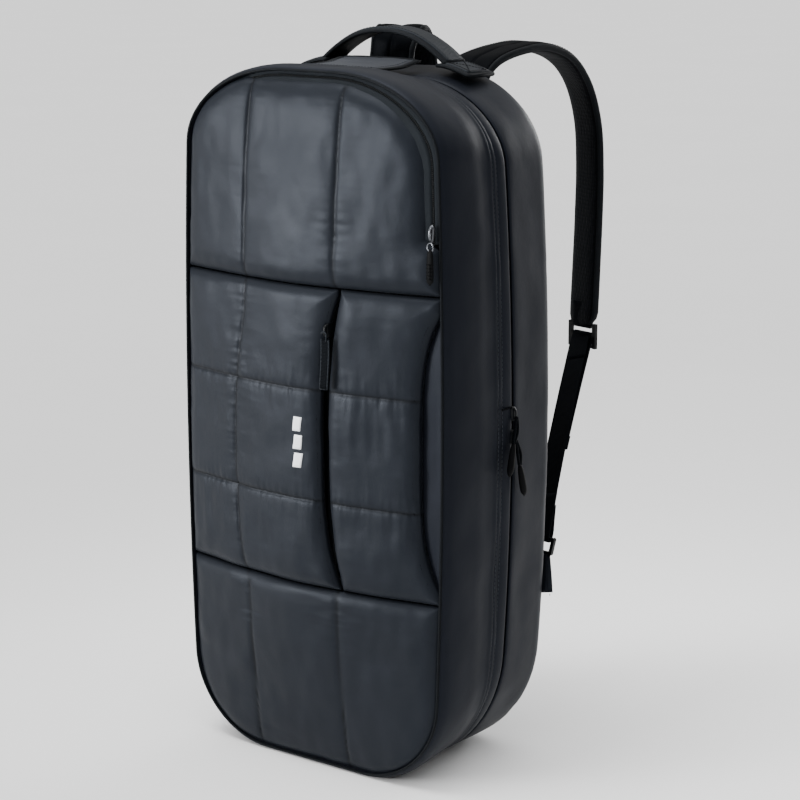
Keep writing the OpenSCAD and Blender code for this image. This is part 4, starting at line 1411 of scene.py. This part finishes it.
def handle_patch_z(x):
    """Height of a handle end above the shell, which falls away towards the corner."""
    return bag_h - 1.5 - 9.5 * (np.clip((np.asarray(x, float) - 76) / 36, 0, 1) ** 1.5)


FLAP_HALF = 48


def storm_flap():
    """The flap over the zip's start, a light cloth with dark edging."""
    line = smooth_curve([[0, -52, 728.5], [0, -30, 728.2], [0, -8, 728.8], [0, 6, 731.0], [0, 19, 733.0]], 8)
    section = repeated(band_section(2 * FLAP_HALF, 2.0, 25), len(line))
    section[..., 1] += 0.5 * noise_at(section[..., 0] / 18, np.arange(len(line))[:, None] / 9, 6.1)
    section[..., 1] -= 1.6 * np.abs(section[..., 0] / FLAP_HALF) ** 4
    piece = make("flap_cloth", *tube(along(line, [1, 0, 0], section)), FLAP, "front_half")
    dress(piece, "shell_nylon", "storm_flap")
    edging = Parts()
    for side in (-1, 1):
        edge = line + [side * (FLAP_HALF + 1), 0, -1.4]
        edging.add(*tube(along(edge, [1, 0, 0], band_section(7, 3.0))))
    far_half = FLAP_HALF + 3
    far = [[x, 19.5, 733.0 - 1.6 * abs(x / FLAP_HALF) ** 4] for x in np.linspace(-far_half, far_half, 21)]
    edging.add(*tube(along(far, [0, 1, 0.2], band_section(6, 3.0))))
    edging.make("flap_edging", BINDING, "front_half")
    row_half = FLAP_HALF - 6
    threads = Parts()
    for side in (-1, 1):
        threads.sew(line + [side * row_half, 0, 0.7], [0, -0.1, 1], FLAP_STITCH)
    threads.sew([[x, -48, 729.6] for x in np.linspace(-row_half, row_half, 12)], [0, 0, 1], FLAP_STITCH)
    threads.make("flap_stitches", PALE_THREAD, "front_half")


# ---- Zip sliders and pullers ----


def slider(node, out, material, axis=(0, 0, 1)):
    """A slider that faces out, with a waisted body along its axis and an arched bridge."""
    low, high = node_box(node)
    middle = (low + high) / 2
    out, axis = unit(out), unit(axis)
    across = np.cross(axis, out)
    length = abs(np.dot(high - low, np.abs(axis)))
    width = abs(np.dot(high - low, np.abs(across)))
    depth = abs(np.dot(high - low, np.abs(out)))
    oval = round_section(1.0, 16)
    oval = np.sign(oval) * np.abs(oval) ** 0.5
    sections = []
    for s in np.linspace(-1, 1, 13):
        swell = math.sqrt(max(0.05, 1 - abs(s) ** 5))
        half = width / 2 * (0.78 + 0.22 * s) * swell
        thick = depth * 0.42 * swell
        centre = middle + axis * s * length / 2
        sections.append(centre + oval[:, :1] * half * across + oval[:, 1:] * thick * out)
    parts = Parts()
    parts.add(*tube(sections))
    arch = [middle + axis * length * 0.36 * math.cos(a) + out * (depth * 0.36 + 2.6 * math.sin(a))
            for a in HALF_TURN]
    parts.add(*tube(along(arch, across, round_section(1.0, 8) * [1.7, 0.8])))
    dress(parts.make(node + "_body", material, node), "slider_metal", node)


def ring_solid(centre, radius, thick, normal):
    """A wire ring."""
    normal = unit(normal)
    side = unit(np.cross(normal, [0.3, 0.2, 1]))
    other = np.cross(normal, side)
    angle = np.arange(25) * 2 * math.pi / 24
    line = centre + radius * (np.cos(angle)[:, None] * side + np.sin(angle)[:, None] * other)
    return tube(along(line, normal, round_section(thick, 8)))


CORD_RADIUS = 1.6
GRIP_LENGTH = 34


def main_pull(name, node, lean):
    """A folded cord through the slider's bridge, moulded together at its end."""
    low, high = node_box(node)
    top = np.array([(low[0] + high[0]) / 2 - 0.5, 0.0, high[2] - 2])
    foot = np.array([(low[0] + high[0]) / 2 + 1, lean * 7, low[2] + 35])
    cords = Parts()
    for side in (-1, 1):
        middle = (top + foot) / 2 + [1.2, side * 2.6, 0]
        line = smooth_curve([top + [0, side * 1.0, 0], middle, foot + [0, side * 1.2, 0]], 10)
        cords.cord(line, CORD_RADIUS)
    turn = [top + [0, math.cos(a), 1.4 * math.sin(a)] for a in np.radians(np.arange(0, 181, 30))]
    cords.cord(turn, CORD_RADIUS)
    cords.make(name + "_cord", WEBBING, node)
    down = unit(foot - top)
    sections = []
    for s in np.linspace(-0.05, 1, 12):
        swell = math.sqrt(max(0.03, 1 - abs(2 * s - 0.95) ** 4))
        half = (3.6 + 1.6 * s) * swell
        centre = foot + down * GRIP_LENGTH * s
        sections.append([centre + [0.72 * half * math.sin(a), half * math.cos(a), 0] for a in turns(12)])
    dress(make(name + "_grip", *tube(sections), RUBBER, node), "puller_rubber", node)


def pocket_puller():
    """The lid zip's moulded puller on its wire ring."""
    low, high = node_box("pocket_puller")
    middle = (low + high) / 2
    x, y = middle[0] + 1.5, middle[1] - 2.5
    parts = Parts()
    for s_low, s_high, half, thick in ((0.0, 1.0, 4.2, 1.7), (0.1, 0.62, 2.8, 2.3)):
        sections = []
        for s in np.linspace(s_low, s_high, 12):
            t = (s - s_low) / (s_high - s_low)
            swell = math.sqrt(max(0.05, 1 - abs(2 * t - 1) ** 6))
            width = half * swell * (1.12 - 0.3 * s)
            z = low[2] + (high[2] - low[2] - 6) * s
            deep = thick * swell
            sections.append([[x + width * math.cos(a), y + deep * math.sin(a), z] for a in turns(14)])
        parts.add(*tube(sections))
    for k in range(5):
        z = low[2] + 6 + 3.6 * k
        parts.cord([[middle[0] - 0.9, middle[1] - 4.9, z], [middle[0] + 3.9, middle[1] - 4.9, z]], 0.6, 6)
    dress(parts.make("pocket_grip", RUBBER, "pocket_puller"), "puller_rubber", "pocket_puller")
    centre = np.array([middle[0] + 0.8, middle[1] - 1.2, high[2] - 4.5])
    piece = make("pocket_ring", *ring_solid(centre, 4.2, 0.8, [0.2, 1, 0]), SLIDER, "pocket_puller")


def slit_puller():
    """A folded fabric puller with a stitched outline."""
    low, high = node_box("slit_puller")
    x, y = (low[0] + high[0]) / 2 + 4.5, (low[1] + high[1]) / 2 - 4.5
    zs = np.linspace(high[2] - 8, low[2] + 1, 15)
    line = np.stack([x + 1.2 * np.sin((zs - low[2]) / 20), y - 1.0 * np.cos((zs - low[2]) / 18), zs], 1)
    piece = make("slit_fabric", *web_band(line, [1, 0, 0], 9.5, 2.6), WEBBING, "slit_puller")
    dress(piece, "webbing", "slit_puller")
    trim = Parts()
    for side in (-1, 1):
        trim.cord(line + [side * 4.6, -0.3, 0], 1.0, 6)
    trim.cord([line[-1] + [-4.6, -0.3, 0], line[-1] + [4.6, -0.3, 0]], 1.0, 6)
    trim.cord([[x - 3.5, y - 0.5, high[2] - 2], [x, y - 0.5, high[2]],
               [x + 3.5, y - 0.5, high[2] - 2], [x + 3.0, y - 0.5, high[2] - 10]], 1.0, 6)
    trim.make("slit_trim", HANDLE, "slit_puller")


def slit_zip():
    """The dark zip deep in the slit."""
    low, high = node_box("slit_zip_tape")
    parts = Parts()
    for side in (-1, 1):
        zs = np.linspace(low[2], high[2], 40)
        x = (low[0] + high[0]) / 2
        line = np.stack([np.full_like(zs, x + side * 5), np.full_like(zs, low[1] + 0.6), zs], 1)
        parts.add(*tube(along(line, [1, 0, 0], band_section(8, 1.2))))
        for z in np.arange(low[2] + 2, high[2] - 2, 2.2):
            parts.cord([[x - 0.4 * side, low[1] - 0.3, z], [x + 2.2 * side, low[1] - 0.6, z + 0.6]], 0.75, 6)
    dress(parts.make("slit_zip", COIL, "front_half"), "zip_tape", "slit_zip_tape")


inside_pieces()
finish_hard("back_board", BOARD, 0.3)
back_pieces()
strap(1, RIGHT_ROUTE, 0, "right")
strap(-1, LEFT_ROUTE, 5, "left")
adjuster(1, "right")
adjuster(-1, "left")
storm_flap()
handle()
handle_ends()
slit_zip()
slider("main_slider_upper", (1, 0, 0), COIL)
slider("main_slider_lower", (1, 0, 0), COIL, (0, 0, -1))
slider("pocket_slider", (0, -1, 0), SLIDER)
slider("slit_slider", (0, -1, 0), COIL, (0, 0, -1))
main_pull("upper_pull", "main_pull_upper", -1)
main_pull("lower_pull", "main_pull_lower", 0.6)
pocket_puller()
slit_puller()
